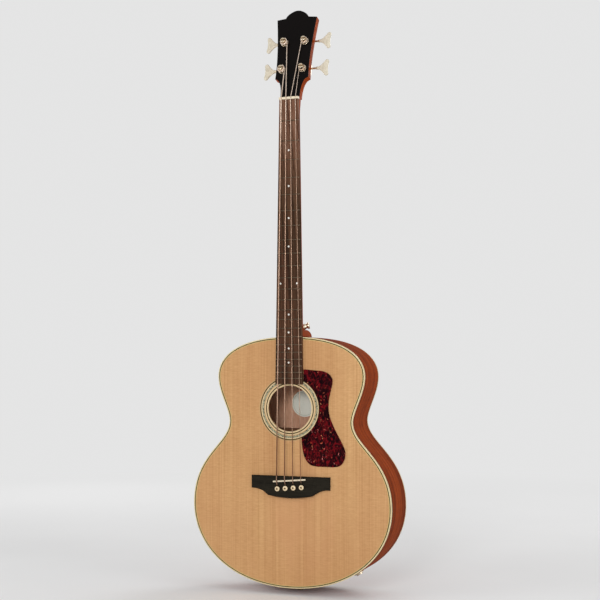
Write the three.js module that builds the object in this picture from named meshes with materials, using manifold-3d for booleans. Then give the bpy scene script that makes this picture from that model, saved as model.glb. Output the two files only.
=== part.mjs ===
// Acoustic bass guitar as separate pieces, in millimetres.
// +Z runs up the neck, +X to the treble side, and the soundboard faces -Y.
// The origin is the flat outer face of the end pin, on the centre line at the tail.
import * as THREE from 'three';
import { mergeVertices } from 'three/addons/utils/BufferGeometryUtils.js';
import Module from 'manifold-3d';

// Clearances and numbers of facets shared by all pieces
const seat = 0.3;
const overrun = 2;
const roundSides = 16;
const rodSides = 12;
const wideRoundSides = 32;
const curveSteps = 12;
const roundPlateSteps = 16;

// Body outline and depth
const bodyLength = 519;
const lowerBoutWidth = 435;
const waistWidth = 270.4;
const upperBoutWidth = 322;
const tailDepth = 130;
const heelEndDepth = 102;
const backArch = 6;
const lowerBoutHeightShare = 0.3276;
const waistHeightShare = 0.6628;
const upperBoutHeightShare = 0.842;
const tailFullnessShare = 0.598;
const lowerBoutRiseShares = [0.43, 1.6];
const waistHandleShares = [0.8605, 1.0668];
const upperBoutHandleShares = [0.9222, 1.103];
const shoulderFullnessShare = 0.6957;
const outlineSteps = [8, 5, 4, 6];
const backColumns = 4;

// Plates, sides, linings and edge bindings
const topThickness = 3.2;
const backThickness = 3;
const sideThickness = 2.5;
const bindingThickness = 2.2;
const frontBindingHeight = 4.5;
const backBindingHeight = 5;
const liningWidth = 7;
const liningHeight = 14;

// Soundhole, rosette and label
const soundholeFromHeelEnd = 148;
const soundholeRadius = 47.5;
const rosetteOuterRadius = 67.5;
const rosetteThickness = 1.2;
const labelRadius = 28.5;
const labelThickness = 0.4;
const labelShift = 6;
const labelRise = 6;

// Neck block and tail block
const neckBlockWidth = 84;
const neckBlockLength = 46;
const tailBlockWidth = 90;
const tailBlockLength = 24;

// Braces
const braceWidth = 8;
const braceHeight = 16;
const crossDegrees = 45;
const crossFromSoundhole = 78;
const toneBarHeight = 12;
const toneBarHeightShares = [0.69673, 0.3438];
const toneBarRiseShare = 0.35727;
const upperToneBarLength = 190;
const lowerToneBarLength = 150;
const upperBraceFromHeelEnd = 68;
const backBraceHeight = 14;
const backBraceFromLabel = 24;
const backBraceHeightShares = [0.2247, 0.61578, 1];
const bridgePlateHeight = 40;
const bridgePlateThickness = 3;

// Neck, heel and headstock
const scaleLength = 781;
const jointFret = 17;
const fretsPerOctave = 12;
const nutWidth = 42;
const boardEndWidth = 60;
const neckDepthAtNut = 16;
const neckDepthAtHeel = 19;
const heelReach = 94;
const heelCapWidth = 30;
const heelCapHeight = 16;
const heelRootHeight = 74;
const heelSteps = 7;
const tenonWidth = 26;
const tenonLength = 22;
const tenonDepth = 56;
const headTiltDegrees = 14;
const headThickness = 16;
const veneerThickness = 1.5;
const headShoulderWidth = 73;
const headShoulderHeight = 44;
const headTopWidth = 88;
const headTopHeight = 179.5;
const headCrownWidth = 50;
const headCrownRise = 18.5;
const headCrownShoulderShare = 0.125;
const headCrownNeckShare = 0.8;
const headShoulderTurnShare = 0.93;
const headFlareBowShare = 0.45;
const headCrownTurnShare = 0.93;
const headCurveSteps = 6;

// Truss rod
const trussRodRadius = 2.5;
const trussRodDepth = 10.6;
const trussRodFromNut = 22;
const trussNutRadius = 4.2;
const trussNutLength = 8;

// Fingerboard, frets and nut
const boardLength = 586;
const boardThickness = 6.5;
const fretFromBoardEnd = 6;
const fretWidth = 2.6;
const fretHeight = 1.2;
const fretRoot = 0.6;
const nutThickness = 5;
const nutHeight = 9.2;

// Bridge, saddle, pins and pickup
const bridgeShift = 2.5;
const bridgeLength = 172;
const bridgeEndHeight = 26.6;
const bridgeBellyHeight = 44.6;
const bridgeThickness = 9;
const bridgeShoulderLength = 97;
const bridgeFlatLength = 158;
const bridgeCuspShare = 0.883;
const bridgeScallopShares = [0.54, 0.94];
const bridgeCurveSteps = 5;
const saddleFromEdge = 8.5;
const saddleCompensation = 3.2;
const saddleLength = 71;
const saddleThickness = 3.2;
const saddleSeatDepth = 6.5;
const pickupThickness = 1.2;
const slantDegrees = 4.7;
const pinSetback = 15.5;
const pinHeadRadius = 5.2;
const pinHeadHeight = 3.4;
const pinShankRadius = 2.7;
const pinTipRadius = 2.2;
const pinLength = 22;
const ballRadius = 3;
const ballLength = 4;
const ballSides = 10;

// Pickguard
const guardThickness = 1.5;
const guardInnerRadius = 64.5;
const guardFromBoard = 0.6;
const guardCurveSteps = 2;

// Strings, bass to treble
const stringNames = ['e', 'a', 'd', 'g'];
const eGauge = 2.54;
const aGauge = 2.16;
const dGauge = 1.65;
const gGauge = 1.14;
const stringGauges = [eGauge, aGauge, dGauge, gGauge];
const nutStringSpacing = 10.2;
const saddleStringSpacing = 17.6;
const nutAction = 0.5;
const saddleAction = 4.9;
const saddleSlack = 0.2;
const stringBend = 4;
const bendSteps = 3;
const stringSides = 6;
const channelSides = 6;
const windingTurns = 2.1;
const windingGap = 0.5;
const windingSteps = 24;
const windingStart = 1.2;

// Tuning machines
const postSpacingAcross = 45;
const lowerPostHeight = 63;
const upperPostHeight = 125;
const postRadius = 5.2;
const postHeight = 14.5;
const slotWidth = 3;
const slotDepth = 7;
const bushingFlangeRadius = 8;
const bushingFlangeThickness = 1.6;
const bushingSleeveRadius = 6.6;
const bushingSleeveLength = 9;
const plateWidth = 26;
const plateHeight = 29;
const plateThickness = 1.5;
const plateDrop = 11;
const wormOffset = 10;
const wormRadius = 3.3;
const wormLength = 12;
const gearRadius = 6.2;
const gearThickness = 4.6;
const gearTeeth = 20;
const gearToothDepthShare = 0.88;
const postTopShare = 0.88;
const lugThickness = 3.6;
const lugWidth = 8.4;
const lugHeight = 9.2;
const keyShaftRadius = 2.1;
const keyReach = 49;
const keyLength = 24.5;
const keyWidth = 36.5;
const keyNeckWidth = 6;
const keyLobeRadius = 4.6;
const keyFlankDegrees = 45;
const keyHollowDegrees = 14;
const keyThickness = 5;
const keyBevel = 0.8;
const keyCurveSteps = 4;

// Strap buttons and output jack
const endPinHeight = 14;
const pinButtonRadius = 7.5;
const pinButtonWaistRadius = 4.2;
const pinButtonBaseRadius = 6.2;
const pinButtonFaceShare = 0.88;
const endPinStemRadius = 4;
const endPinStemLength = 22;
const heelButtonHeight = 12;
const heelButtonRise = 20;
const heelButtonDepth = 20;
const jackAcross = 129;
const jackFlangeRadius = 11;
const jackFlangeThickness = 2;
const jackNutRadius = 7.5;
const jackNutThickness = 3;
const jackBarrelRadius = 6;
const jackBarrelLength = 26;
const jackBoreRadius = 3.3;
const jackBoreLength = 24;

// Places that follow from the sizes above
const tailZ = endPinHeight;
const heelEndZ = tailZ + bodyLength;
const frontY = -tailDepth / 2;
const topUnderY = frontY + topThickness;
const halfLower = lowerBoutWidth / 2;
const nutZ = heelEndZ + scaleLength * (1 - 2 ** (-jointFret / fretsPerOctave));
const boardEndZ = nutZ - boardLength;
const soundholeZ = heelEndZ - soundholeFromHeelEnd;
const saddleZ = nutZ - scaleLength - saddleCompensation;
const bridgeEdgeZ = saddleZ + saddleFromEdge;
const blockInset = sideThickness + seat;
const braceInset = blockInset + liningWidth + seat;
const neckBlockZ = heelEndZ - sideThickness - neckBlockLength;
const tailBlockZ = tailZ + sideThickness + tailBlockLength;
const boardFrontY = frontY - seat - boardThickness;
const bridgeFrontY = frontY - seat - bridgeThickness;
const fretTopY = boardFrontY - fretHeight;
const saddleTopY = fretTopY - saddleAction;
const saddleFloorY = bridgeFrontY + saddleSeatDepth;
const crossZ = soundholeZ - crossFromSoundhole;
const holeOffset = pinHeadRadius + eGauge / 2 + seat;
const bridgePlateZ = saddleZ - pinSetback + holeOffset / 2;
const toneBarSpace = bridgePlateZ - bridgePlateHeight / 2 - tailBlockZ;
const labelZ = soundholeZ + labelRise;
const topBackBraceZ = labelZ - labelRadius - backBraceFromLabel - braceWidth / 2;
const crossAngle = THREE.MathUtils.degToRad(crossDegrees);
const toneBarAngle = Math.asin(toneBarSpace * toneBarRiseShare / upperToneBarLength);
const toneBarLengths = [upperToneBarLength, lowerToneBarLength];
const headTilt = THREE.MathUtils.degToRad(headTiltDegrees);
const slantAngle = THREE.MathUtils.degToRad(slantDegrees);
const headBaseZ = nutZ + nutThickness + seat;
const headBackY = headThickness;
const plateBackY = headBackY + seat + plateThickness;
const wormY = plateBackY + lugHeight / 2;

// Materials
const spruce = ['#c9a274', 0.35, 0];
const mahogany = ['#7c2f16', 0.3, 0];
const ivoryPlastic = ['#e8dcc0', 0.4, 0];
const rosewood = ['#4b2c1d', 0.5, 0];
const ebony = ['#15120f', 0.4, 0];
const blackGloss = ['#070707', 0.15, 0];
const bone = ['#efe8d8', 0.35, 0];
const tortoiseshell = ['#5a1410', 0.15, 0];
const paper = ['#cfd6c4', 0.8, 0];
const kerfedMahogany = ['#9a6a45', 0.7, 0];
const innerSpruce = ['#d3b583', 0.7, 0];
const nickel = ['#c9c1b3', 0.25, 1];
const pearlKey = ['#ddd6c2', 0.3, 0];
const steel = ['#8f9296', 0.35, 1];
const bronzeString = ['#a98c78', 0.35, 1];

const manifoldLibrary = await Module();
manifoldLibrary.setup();

// Solids: joins and cuts of closed meshes
function solidOf(geometry) {
  const bare = geometry.clone();
  bare.deleteAttribute('normal');
  bare.deleteAttribute('uv');
  const merged = mergeVertices(bare);
  const vertProperties = new Float32Array(merged.attributes.position.array);
  const triVerts = new Uint32Array(merged.index.array);
  const mesh = new manifoldLibrary.Mesh({ numProp: 3, vertProperties, triVerts });
  return new manifoldLibrary.Manifold(mesh);
}

function geometryOf(solid) {
  const mesh = solid.getMesh();
  const geometry = new THREE.BufferGeometry();
  geometry.setAttribute('position', new THREE.BufferAttribute(mesh.vertProperties, 3));
  geometry.setIndex(new THREE.BufferAttribute(mesh.triVerts, 1));
  return geometry;
}

function join(first, ...others) {
  return geometryOf(others.reduce((solid, other) => solid.add(solidOf(other)), solidOf(first)));
}

function cut(first, ...others) {
  return geometryOf(others.reduce((solid, other) => solid.subtract(solidOf(other)), solidOf(first)));
}

function common(first, ...others) {
  return geometryOf(others.reduce((solid, other) => solid.intersect(solidOf(other)), solidOf(first)));
}

function box(width, depth, height, x, y, z) {
  return new THREE.BoxGeometry(width, depth, height).translate(x, y, z);
}

// A box between two opposite corners
function boxBetween(low, high) {
  const size = high.map((value, axis) => value - low[axis]);
  const middle = high.map((value, axis) => (value + low[axis]) / 2);
  return box(...size, ...middle);
}

function map(geometry, move) {
  const position = geometry.attributes.position;
  const point = new THREE.Vector3();
  for (let index = 0; index < position.count; index += 1) {
    point.fromBufferAttribute(position, index);
    move(point);
    position.setXYZ(index, point.x, point.y, point.z);
  }
  return geometry;
}

// A plate whose outline lies in X and Z, between two faces given as Y at each point
function plate(shape, frontAt, backAt, curveSegments = curveSteps) {
  const settings = { depth: 1, bevelEnabled: false, curveSegments };
  const flat = new THREE.ExtrudeGeometry(shape, settings).rotateX(Math.PI / 2);
  return map(flat, (point) => {
    const front = frontAt(point.x, point.z);
    const back = backAt(point.x, point.z);
    point.y = back + point.y * (back - front);
  });
}

function flatPlate(shape, frontFace, backFace, curveSegments = curveSteps) {
  return plate(shape, () => frontFace, () => backFace, curveSegments);
}

// A round bar along Y, between two depths
function barAlongY(radius, fromY, toY, x, z, sides = roundSides) {
  const bar = new THREE.CylinderGeometry(radius, radius, toY - fromY, sides);
  return bar.translate(x, (fromY + toY) / 2, z);
}

function latheAlongY(profile, sides = roundSides) {
  return new THREE.LatheGeometry(profile.map(([radius, y]) => new THREE.Vector2(radius, y)), sides);
}

// Body outline, treble half, from the tail centre to the heel centre
function outlineCurves() {
  const halfWaist = waistWidth / 2;
  const halfUpper = upperBoutWidth / 2;
  const lowZ = bodyLength * lowerBoutHeightShare;
  const waistZ = bodyLength * waistHeightShare;
  const highZ = bodyLength * upperBoutHeightShare;
  const [lowRise, lowReach] = lowerBoutRiseShares;
  const [waistBelow, waistAbove] = waistHandleShares;
  const [upperBelow, upperAbove] = upperBoutHandleShares;
  const at = (x, z) => new THREE.Vector2(x, z + tailZ);
  return [
    [at(0, 0), at(halfLower * tailFullnessShare, 0), at(halfLower, lowZ * lowRise), at(halfLower, lowZ)],
    [at(halfLower, lowZ), at(halfLower, lowZ * lowReach), at(halfWaist, waistZ * waistBelow),
      at(halfWaist, waistZ)],
    [at(halfWaist, waistZ), at(halfWaist, waistZ * waistAbove), at(halfUpper, highZ * upperBelow),
      at(halfUpper, highZ)],
    [at(halfUpper, highZ), at(halfUpper, highZ * upperAbove),
      at(halfUpper * shoulderFullnessShare, bodyLength), at(0, bodyLength)],
  ].map((points) => new THREE.CubicBezierCurve(...points));
}

function halfOutline(inset) {
  const points = [];
  outlineCurves().forEach((curve, order) => {
    const steps = outlineSteps[order];
    for (let step = order === 0 ? 0 : 1; step <= steps; step += 1) {
      const point = curve.getPoint(step / steps);
      const along = curve.getTangent(step / steps);
      points.push(new THREE.Vector2(point.x - along.y * inset, point.y + along.x * inset));
    }
  });
  points[0].x = 0;
  points[points.length - 1].x = 0;
  return points;
}

function fullOutline(inset) {
  const treble = halfOutline(inset);
  const bass = treble.slice(1, -1).reverse().map((point) => new THREE.Vector2(-point.x, point.y));
  return [...treble, ...bass];
}

function ringShape(outerInset, innerInset) {
  const shape = new THREE.Shape(fullOutline(outerInset));
  shape.holes.push(new THREE.Path(fullOutline(innerInset)));
  return shape;
}

// Outer face of the arched back
function backY(x, z) {
  const taper = (tailDepth - heelEndDepth) * (z - tailZ) / bodyLength;
  return frontY + tailDepth - taper - backArch * (x / halfLower) ** 2;
}

// A body-shaped slab with columns of points, so both faces follow the arch
function archedSlab(inset, frontAt, backAt) {
  const rows = halfOutline(inset);
  const corner = (row, column, faceAt) => {
    const x = rows[row].x * (2 * column / backColumns - 1);
    return [x, faceAt(x, rows[row].y), rows[row].y];
  };
  const triangles = [];
  const addFace = (a, b, c, d) => triangles.push([a, b, c], [a, c, d]);
  for (let row = 0; row + 1 < rows.length; row += 1) {
    for (let column = 0; column < backColumns; column += 1) {
      const low = [corner(row, column, frontAt), corner(row, column + 1, frontAt)];
      const high = [corner(row + 1, column, frontAt), corner(row + 1, column + 1, frontAt)];
      addFace(low[0], low[1], high[1], high[0]);
      const lowBack = [corner(row, column, backAt), corner(row, column + 1, backAt)];
      const highBack = [corner(row + 1, column, backAt), corner(row + 1, column + 1, backAt)];
      addFace(lowBack[1], lowBack[0], highBack[0], highBack[1]);
    }
    const rims = [backColumns, 0].map((column) => [corner(row, column, frontAt),
      corner(row, column, backAt), corner(row + 1, column, backAt), corner(row + 1, column, frontAt)]);
    addFace(...rims[0]);
    addFace(...rims[1].reverse());
  }
  const same = (a, b) => a.every((value, axis) => Math.abs(value - b[axis]) < Number.EPSILON * bodyLength);
  const kept = triangles.filter(([a, b, c]) => !same(a, b) && !same(b, c) && !same(a, c));
  const geometry = new THREE.BufferGeometry();
  geometry.setAttribute('position', new THREE.Float32BufferAttribute(kept.flat(2), 3));
  return geometry;
}

const bodyLow = [-lowerBoutWidth, frontY - overrun, 0];
const bodyHigh = [lowerBoutWidth, -frontY + overrun, heelEndZ + overrun];

// Everything on one side of the centre plane
function halfSpace(side, clearance) {
  const low = [side > 0 ? clearance : bodyLow[0], bodyLow[1], bodyLow[2]];
  const high = [side > 0 ? bodyHigh[0] : -clearance, bodyHigh[1], bodyHigh[2]];
  return boxBetween(low, high);
}

function cavity(inset) {
  return archedSlab(inset, () => topUnderY + seat, (x, z) => backY(x, z) - backThickness - seat);
}

// String places
const stringCount = stringGauges.length;
const stringShare = (index) => index - (stringCount - 1) / 2;
const nutStringX = (index) => stringShare(index) * nutStringSpacing;
const pinX = (index) => bridgeShift + stringShare(index) * saddleStringSpacing;
const slantRise = (x) => (x - bridgeShift) * Math.tan(slantAngle);
const pinZ = (index) => saddleZ - pinSetback + slantRise(pinX(index));
const stringHoleZ = (index) => pinZ(index) + holeOffset;

const headFrame = new THREE.Matrix4().makeRotationX(-headTilt);
headFrame.setPosition(0, frontY, headBaseZ);

const postPlaces = [
  { side: -1, height: lowerPostHeight },
  { side: -1, height: upperPostHeight },
  { side: 1, height: upperPostHeight },
  { side: 1, height: lowerPostHeight },
].map(({ side, height }) => ({ side, x: side * postSpacingAcross / 2, z: height }));

// The winding on a post, from its free end down to where the string leaves for the nut
function windingPoints(index) {
  const { side, x, z } = postPlaces[index];
  const radius = stringGauges[index] / 2;
  const coilRadius = postRadius + seat + radius;
  const rise = stringGauges[index] + windingGap;
  const toNut = new THREE.Vector2(nutStringX(index) - x, -z);
  const leaving = toNut.angle() - side * Math.acos(coilRadius / toNut.length());
  const steps = Math.round(windingTurns * windingSteps);
  const startHeight = bushingFlangeThickness + seat + windingStart + radius;
  const points = [];
  for (let step = steps; step >= 0; step -= 1) {
    const turn = step / windingSteps;
    const angle = leaving - side * turn * 2 * Math.PI;
    const height = startHeight + rise * turn;
    const across = coilRadius * Math.cos(angle);
    points.push(new THREE.Vector3(x + across, -height, z + coilRadius * Math.sin(angle)));
  }
  const lead = points[0].clone().sub(points[1]).setLength(stringGauges[index]);
  points.unshift(points[0].clone().add(lead));
  return points.map((point) => point.applyMatrix4(headFrame));
}

// Corners become short curves
function bend(points) {
  const route = [];
  points.forEach((corner, order) => {
    if (order === 0 || order === points.length - 1) {
      route.push(corner);
      return;
    }
    const before = points[order - 1].clone().sub(corner).setLength(stringBend).add(corner);
    const after = points[order + 1].clone().sub(corner).setLength(stringBend).add(corner);
    const curve = new THREE.QuadraticBezierCurve3(before, corner, after);
    route.push(...curve.getPoints(bendSteps));
  });
  return route;
}

// Nut, saddle, string hole and ball end: the corners of the stretch over the body
function stretchCorners(index) {
  const radius = stringGauges[index] / 2;
  const nutY = fretTopY - nutAction - radius;
  const saddleY = saddleTopY - radius - seat - saddleSlack;
  const saddleX = pinX(index);
  const ballY = topUnderY + seat + bridgePlateThickness + seat + ballLength / 2;
  return [
    new THREE.Vector3(nutStringX(index), nutY, nutZ + nutThickness / 2),
    new THREE.Vector3(saddleX, saddleY, saddleZ + slantRise(saddleX)),
    new THREE.Vector3(saddleX, bridgeFrontY - radius, stringHoleZ(index)),
    new THREE.Vector3(saddleX, ballY, stringHoleZ(index)),
  ];
}

// A curve through given points that keeps their own spacing
class Route extends THREE.Curve {
  constructor(points) {
    super();
    this.points = points;
  }

  getPointAt(share, target = new THREE.Vector3()) {
    return target.copy(this.points[Math.round(share * (this.points.length - 1))]);
  }

  getTangentAt(share, target = new THREE.Vector3()) {
    const index = Math.round(share * (this.points.length - 1));
    const here = this.points[index];
    target.set(0, 0, 0);
    if (index > 0) target.add(here.clone().sub(this.points[index - 1]).normalize());
    if (index + 1 < this.points.length) target.add(this.points[index + 1].clone().sub(here).normalize());
    return target.normalize();
  }
}

function tube(points, radius, sides) {
  const ring = [];
  for (let side = 0; side < sides; side += 1) {
    const angle = side / sides * 2 * Math.PI;
    ring.push(new THREE.Vector2(radius * Math.cos(angle), radius * Math.sin(angle)));
  }
  const settings = { steps: points.length - 1, bevelEnabled: false, extrudePath: new Route(points) };
  return new THREE.ExtrudeGeometry(new THREE.Shape(ring), settings);
}

// Room for one string from its post to its ball end, with clearance all round
function stringChannel(index) {
  const leaving = windingPoints(index).pop();
  const route = bend([leaving, ...stretchCorners(index)]);
  return tube(route, (stringGauges[index] / 2 + seat) / Math.cos(Math.PI / channelSides), channelSides);
}

// The slot that joins a string's hole to its pin's hole
function pinRoom(index) {
  const x = pinX(index);
  const fromY = bridgeFrontY - overrun;
  const toY = topUnderY + bridgePlateThickness + 2 * overrun;
  const pinHole = barAlongY(pinShankRadius + seat, fromY, toY, x, pinZ(index));
  const half = stringGauges[index] / 2 + seat;
  const slot = boxBetween([x - half, fromY, pinZ(index)], [x + half, toY, stringHoleZ(index) + half]);
  return join(pinHole, slot);
}

const pinRooms = stringGauges.map((gauge, index) => pinRoom(index));
const stringChannels = stringGauges.map((gauge, index) => stringChannel(index));

// Pieces of the body
function soundboard() {
  const shape = new THREE.Shape(fullOutline(bindingThickness + seat));
  shape.holes.push(new THREE.Path().absarc(0, soundholeZ, soundholeRadius + seat, 0, 2 * Math.PI));
  const board = flatPlate(shape, frontY, topUnderY);
  const rebateFloorY = frontY + rosetteThickness + seat;
  const rebateRadius = rosetteOuterRadius + seat;
  const rebate = barAlongY(rebateRadius, frontY - overrun, rebateFloorY, 0, soundholeZ, wideRoundSides);
  return cut(board, rebate, ...pinRooms);
}

function rosette() {
  const shape = new THREE.Shape().absarc(0, soundholeZ, rosetteOuterRadius, 0, 2 * Math.PI);
  shape.holes.push(new THREE.Path().absarc(0, soundholeZ, soundholeRadius, 0, 2 * Math.PI));
  return flatPlate(shape, frontY, frontY + rosetteThickness, roundPlateSteps);
}

function backPlate() {
  return archedSlab(bindingThickness + seat, (x, z) => backY(x, z) - backThickness, backY);
}

function jackPlace() {
  const points = halfOutline(0);
  const after = points.findIndex((point) => point.x > jackAcross);
  const [low, high] = [points[after - 1], points[after]];
  const share = (jackAcross - low.x) / (high.x - low.x);
  const foot = low.clone().lerp(high, share);
  const along = high.clone().sub(low).normalize();
  return { foot, outward: new THREE.Vector2(along.y, -along.x) };
}

function turnToJack(geometry) {
  const { foot, outward } = jackPlace();
  const turn = new THREE.Quaternion().setFromUnitVectors(new THREE.Vector3(0, 1, 0),
    new THREE.Vector3(outward.x, 0, outward.y));
  return geometry.applyQuaternion(turn).translate(foot.x, 0, foot.y);
}

// The hole for the end pin's stem, centred on the tail of the body
function endPinHole(length) {
  const radius = endPinStemRadius + seat;
  const hole = new THREE.CylinderGeometry(radius, radius, length, roundSides);
  return hole.rotateX(Math.PI / 2).translate(0, 0, tailZ);
}

function sideWall(side) {
  const front = () => frontY + frontBindingHeight + seat;
  const back = (x, z) => backY(x, z) - backBindingHeight - seat;
  const wall = plate(ringShape(0, sideThickness), front, back);
  const neckRoom = tenonWidth / 2 + seat;
  const neckGap = boxBetween([-neckRoom, bodyLow[1], neckBlockZ], [neckRoom, bodyHigh[1], bodyHigh[2]]);
  const half = common(wall, halfSpace(side, seat / 2));
  const open = cut(half, neckGap, endPinHole(tailBlockZ));
  if (side < 0) return open;
  const reach = 2 * sideThickness + 2 * overrun;
  const jackRoom = jackBarrelRadius + seat;
  return cut(open, turnToJack(new THREE.CylinderGeometry(jackRoom, jackRoom, 2 * reach, roundSides)));
}

function neckBlockRoom(margin) {
  const half = neckBlockWidth / 2 + margin;
  return boxBetween([-half, bodyLow[1], neckBlockZ - margin], [half, bodyHigh[1], bodyHigh[2]]);
}

function tailBlockRoom(margin) {
  const half = tailBlockWidth / 2 + margin;
  return boxBetween([-half, bodyLow[1], bodyLow[2]], [half, bodyHigh[1], tailBlockZ + margin]);
}

function tenonRoom(margin) {
  const half = tenonWidth / 2 + margin;
  const fromY = frontY + frontBindingHeight + seat - margin;
  const toY = frontY + tenonDepth + margin;
  return boxBetween([-half, fromY, heelEndZ - tenonLength - margin], [half, toY, heelEndZ + overrun]);
}

// The slot that holds the truss rod, open toward the fingerboard
function rodSlot(fromZ, toZ) {
  const half = trussRodRadius + seat;
  return boxBetween([-half, frontY - overrun, fromZ], [half, frontY + trussRodDepth + half, toZ]);
}

function neckBlock() {
  const block = common(neckBlockRoom(0), cavity(blockInset));
  return cut(block, tenonRoom(seat), rodSlot(neckBlockZ - overrun, heelEndZ));
}

function tailBlock() {
  const block = common(tailBlockRoom(0), cavity(blockInset));
  return cut(block, endPinHole(2 * tailBlockZ));
}

function lining(side, atFront) {
  const shape = ringShape(blockInset, blockInset + liningWidth);
  const backEnd = (x, z) => backY(x, z) - backThickness - seat;
  const front = atFront ? () => topUnderY + seat : (x, z) => backEnd(x, z) - liningHeight;
  const back = atFront ? () => topUnderY + seat + liningHeight : backEnd;
  const ring = plate(shape, front, back);
  const half = common(ring, halfSpace(side, seat));
  return cut(half, neckBlockRoom(seat), tailBlockRoom(seat));
}

function frontBinding() {
  return flatPlate(ringShape(0, bindingThickness), frontY, frontY + frontBindingHeight);
}

function backBinding() {
  return plate(ringShape(0, bindingThickness), (x, z) => backY(x, z) - backBindingHeight, backY);
}

// A bar under the soundboard, turned about its middle
function topBar(length, width, height, x, z, angle, extra = 0) {
  const bar = new THREE.BoxGeometry(length + 2 * extra, height + 2 * extra, width + 2 * extra);
  bar.rotateY(-angle);
  return bar.translate(x, topUnderY + seat + height / 2, z);
}

function crossBar(side, extra = 0) {
  return topBar(2 * lowerBoutWidth, braceWidth, braceHeight, 0, crossZ, side * crossAngle, extra);
}

// The two bars of the cross are halved into each other
function crossBrace(side) {
  const bar = common(crossBar(side), cavity(braceInset));
  const reach = braceWidth;
  const middle = topUnderY + seat + braceHeight / 2;
  const low = side > 0 ? middle - seat / 2 : bodyLow[1];
  const high = side > 0 ? bodyHigh[1] : middle + seat / 2;
  const lap = boxBetween([-reach, low, crossZ - reach], [reach, high, crossZ + reach]);
  const crossing = common(lap, crossBar(-side, seat));
  const upperRoom = upperBraceBox(seat);
  return cut(bar, crossing, upperRoom, neckBlockRoom(seat), tailBlockRoom(seat));
}

function upperBraceBox(margin) {
  const z = heelEndZ - upperBraceFromHeelEnd;
  return topBar(upperBoutWidth, braceWidth + 2 * margin, braceHeight + 2 * margin, 0, z, 0);
}

function upperBrace() {
  return common(upperBraceBox(0), cavity(braceInset));
}

function toneBar(order) {
  const z = tailBlockZ + toneBarSpace * toneBarHeightShares[order];
  const bar = topBar(toneBarLengths[order], braceWidth, toneBarHeight, 0, z, toneBarAngle);
  const room = cut(cavity(braceInset), crossBar(1, seat), crossBar(-1, seat), tailBlockRoom(seat));
  return common(bar, room);
}

// The plate under the bridge fits between the legs of the cross
function bridgePlate() {
  const legRoom = (braceWidth / 2 + seat) / Math.sin(crossAngle);
  const halfAt = (z) => (crossZ - z) / Math.tan(crossAngle) - legRoom;
  const low = bridgePlateZ - bridgePlateHeight / 2;
  const high = bridgePlateZ + bridgePlateHeight / 2;
  const shape = new THREE.Shape([
    new THREE.Vector2(-halfAt(low), low),
    new THREE.Vector2(halfAt(low), low),
    new THREE.Vector2(halfAt(high), high),
    new THREE.Vector2(-halfAt(high), high),
  ]);
  const board = flatPlate(shape, topUnderY + seat, topUnderY + seat + bridgePlateThickness);
  return cut(board, ...pinRooms);
}

function backBrace(order) {
  const z = tailBlockZ + (topBackBraceZ - tailBlockZ) * backBraceHeightShares[order];
  const low = [bodyLow[0], bodyLow[1], z - braceWidth / 2];
  const high = [bodyHigh[0], bodyHigh[1], z + braceWidth / 2];
  const innerFace = (x, height) => backY(x, height) - backThickness - seat;
  const layer = archedSlab(braceInset, (x, height) => innerFace(x, height) - backBraceHeight, innerFace);
  return common(layer, boxBetween(low, high));
}

function label() {
  const shape = new THREE.Shape().absarc(-labelShift, labelZ, labelRadius, 0, 2 * Math.PI);
  const innerFace = (x, z) => backY(x, z) - backThickness - seat;
  return plate(shape, (x, z) => innerFace(x, z) - labelThickness, innerFace, roundPlateSteps);
}

// Neck, fingerboard and headstock
function boardWidthAt(z) {
  return nutWidth + (boardEndWidth - nutWidth) * (nutZ - z) / boardLength;
}

function halfRoundShape(segments) {
  const points = [];
  for (let step = 0; step <= segments; step += 1) {
    const angle = step / segments * Math.PI;
    points.push(new THREE.Vector2(Math.cos(angle), Math.sin(angle)));
  }
  return new THREE.Shape(points);
}

function neckShaft() {
  const shaft = new THREE.ExtrudeGeometry(halfRoundShape(curveSteps), { depth: 1, bevelEnabled: false });
  const footZ = heelEndZ + seat + overrun;
  const topZ = headBaseZ + overrun;
  return map(shaft, (point) => {
    const z = footZ + (topZ - footZ) * point.z;
    const share = (z - heelEndZ) / (nutZ - heelEndZ);
    const depth = neckDepthAtHeel + (neckDepthAtNut - neckDepthAtHeel) * share;
    point.set(point.x * boardWidthAt(z) / 2, frontY + point.y * depth, z);
  });
}

function heelHalfWidth(share) {
  return (boardWidthAt(heelEndZ) + (heelCapWidth - boardWidthAt(heelEndZ)) * share) / 2;
}

function heelHeight(share) {
  return heelCapHeight + (heelRootHeight - heelCapHeight) * (1 - share) ** 3;
}

// A point on the heel's treble cheek, by its depth and its rise above the body
function heelCheek(depth, rise) {
  const share = depth / heelReach;
  const across = heelHalfWidth(share) * Math.sqrt(1 - (rise / heelHeight(share)) ** 2);
  return new THREE.Vector3(across, frontY + depth, heelEndZ + seat + rise);
}

function heel() {
  const settings = { depth: 1, steps: heelSteps, bevelEnabled: false };
  const block = new THREE.ExtrudeGeometry(halfRoundShape(curveSteps), settings);
  block.rotateX(Math.PI / 2);
  return map(block, (point) => {
    const share = 1 + point.y;
    const height = heelEndZ + seat + point.z * heelHeight(share);
    point.set(point.x * heelHalfWidth(share), frontY + share * heelReach, height);
  });
}

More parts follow.
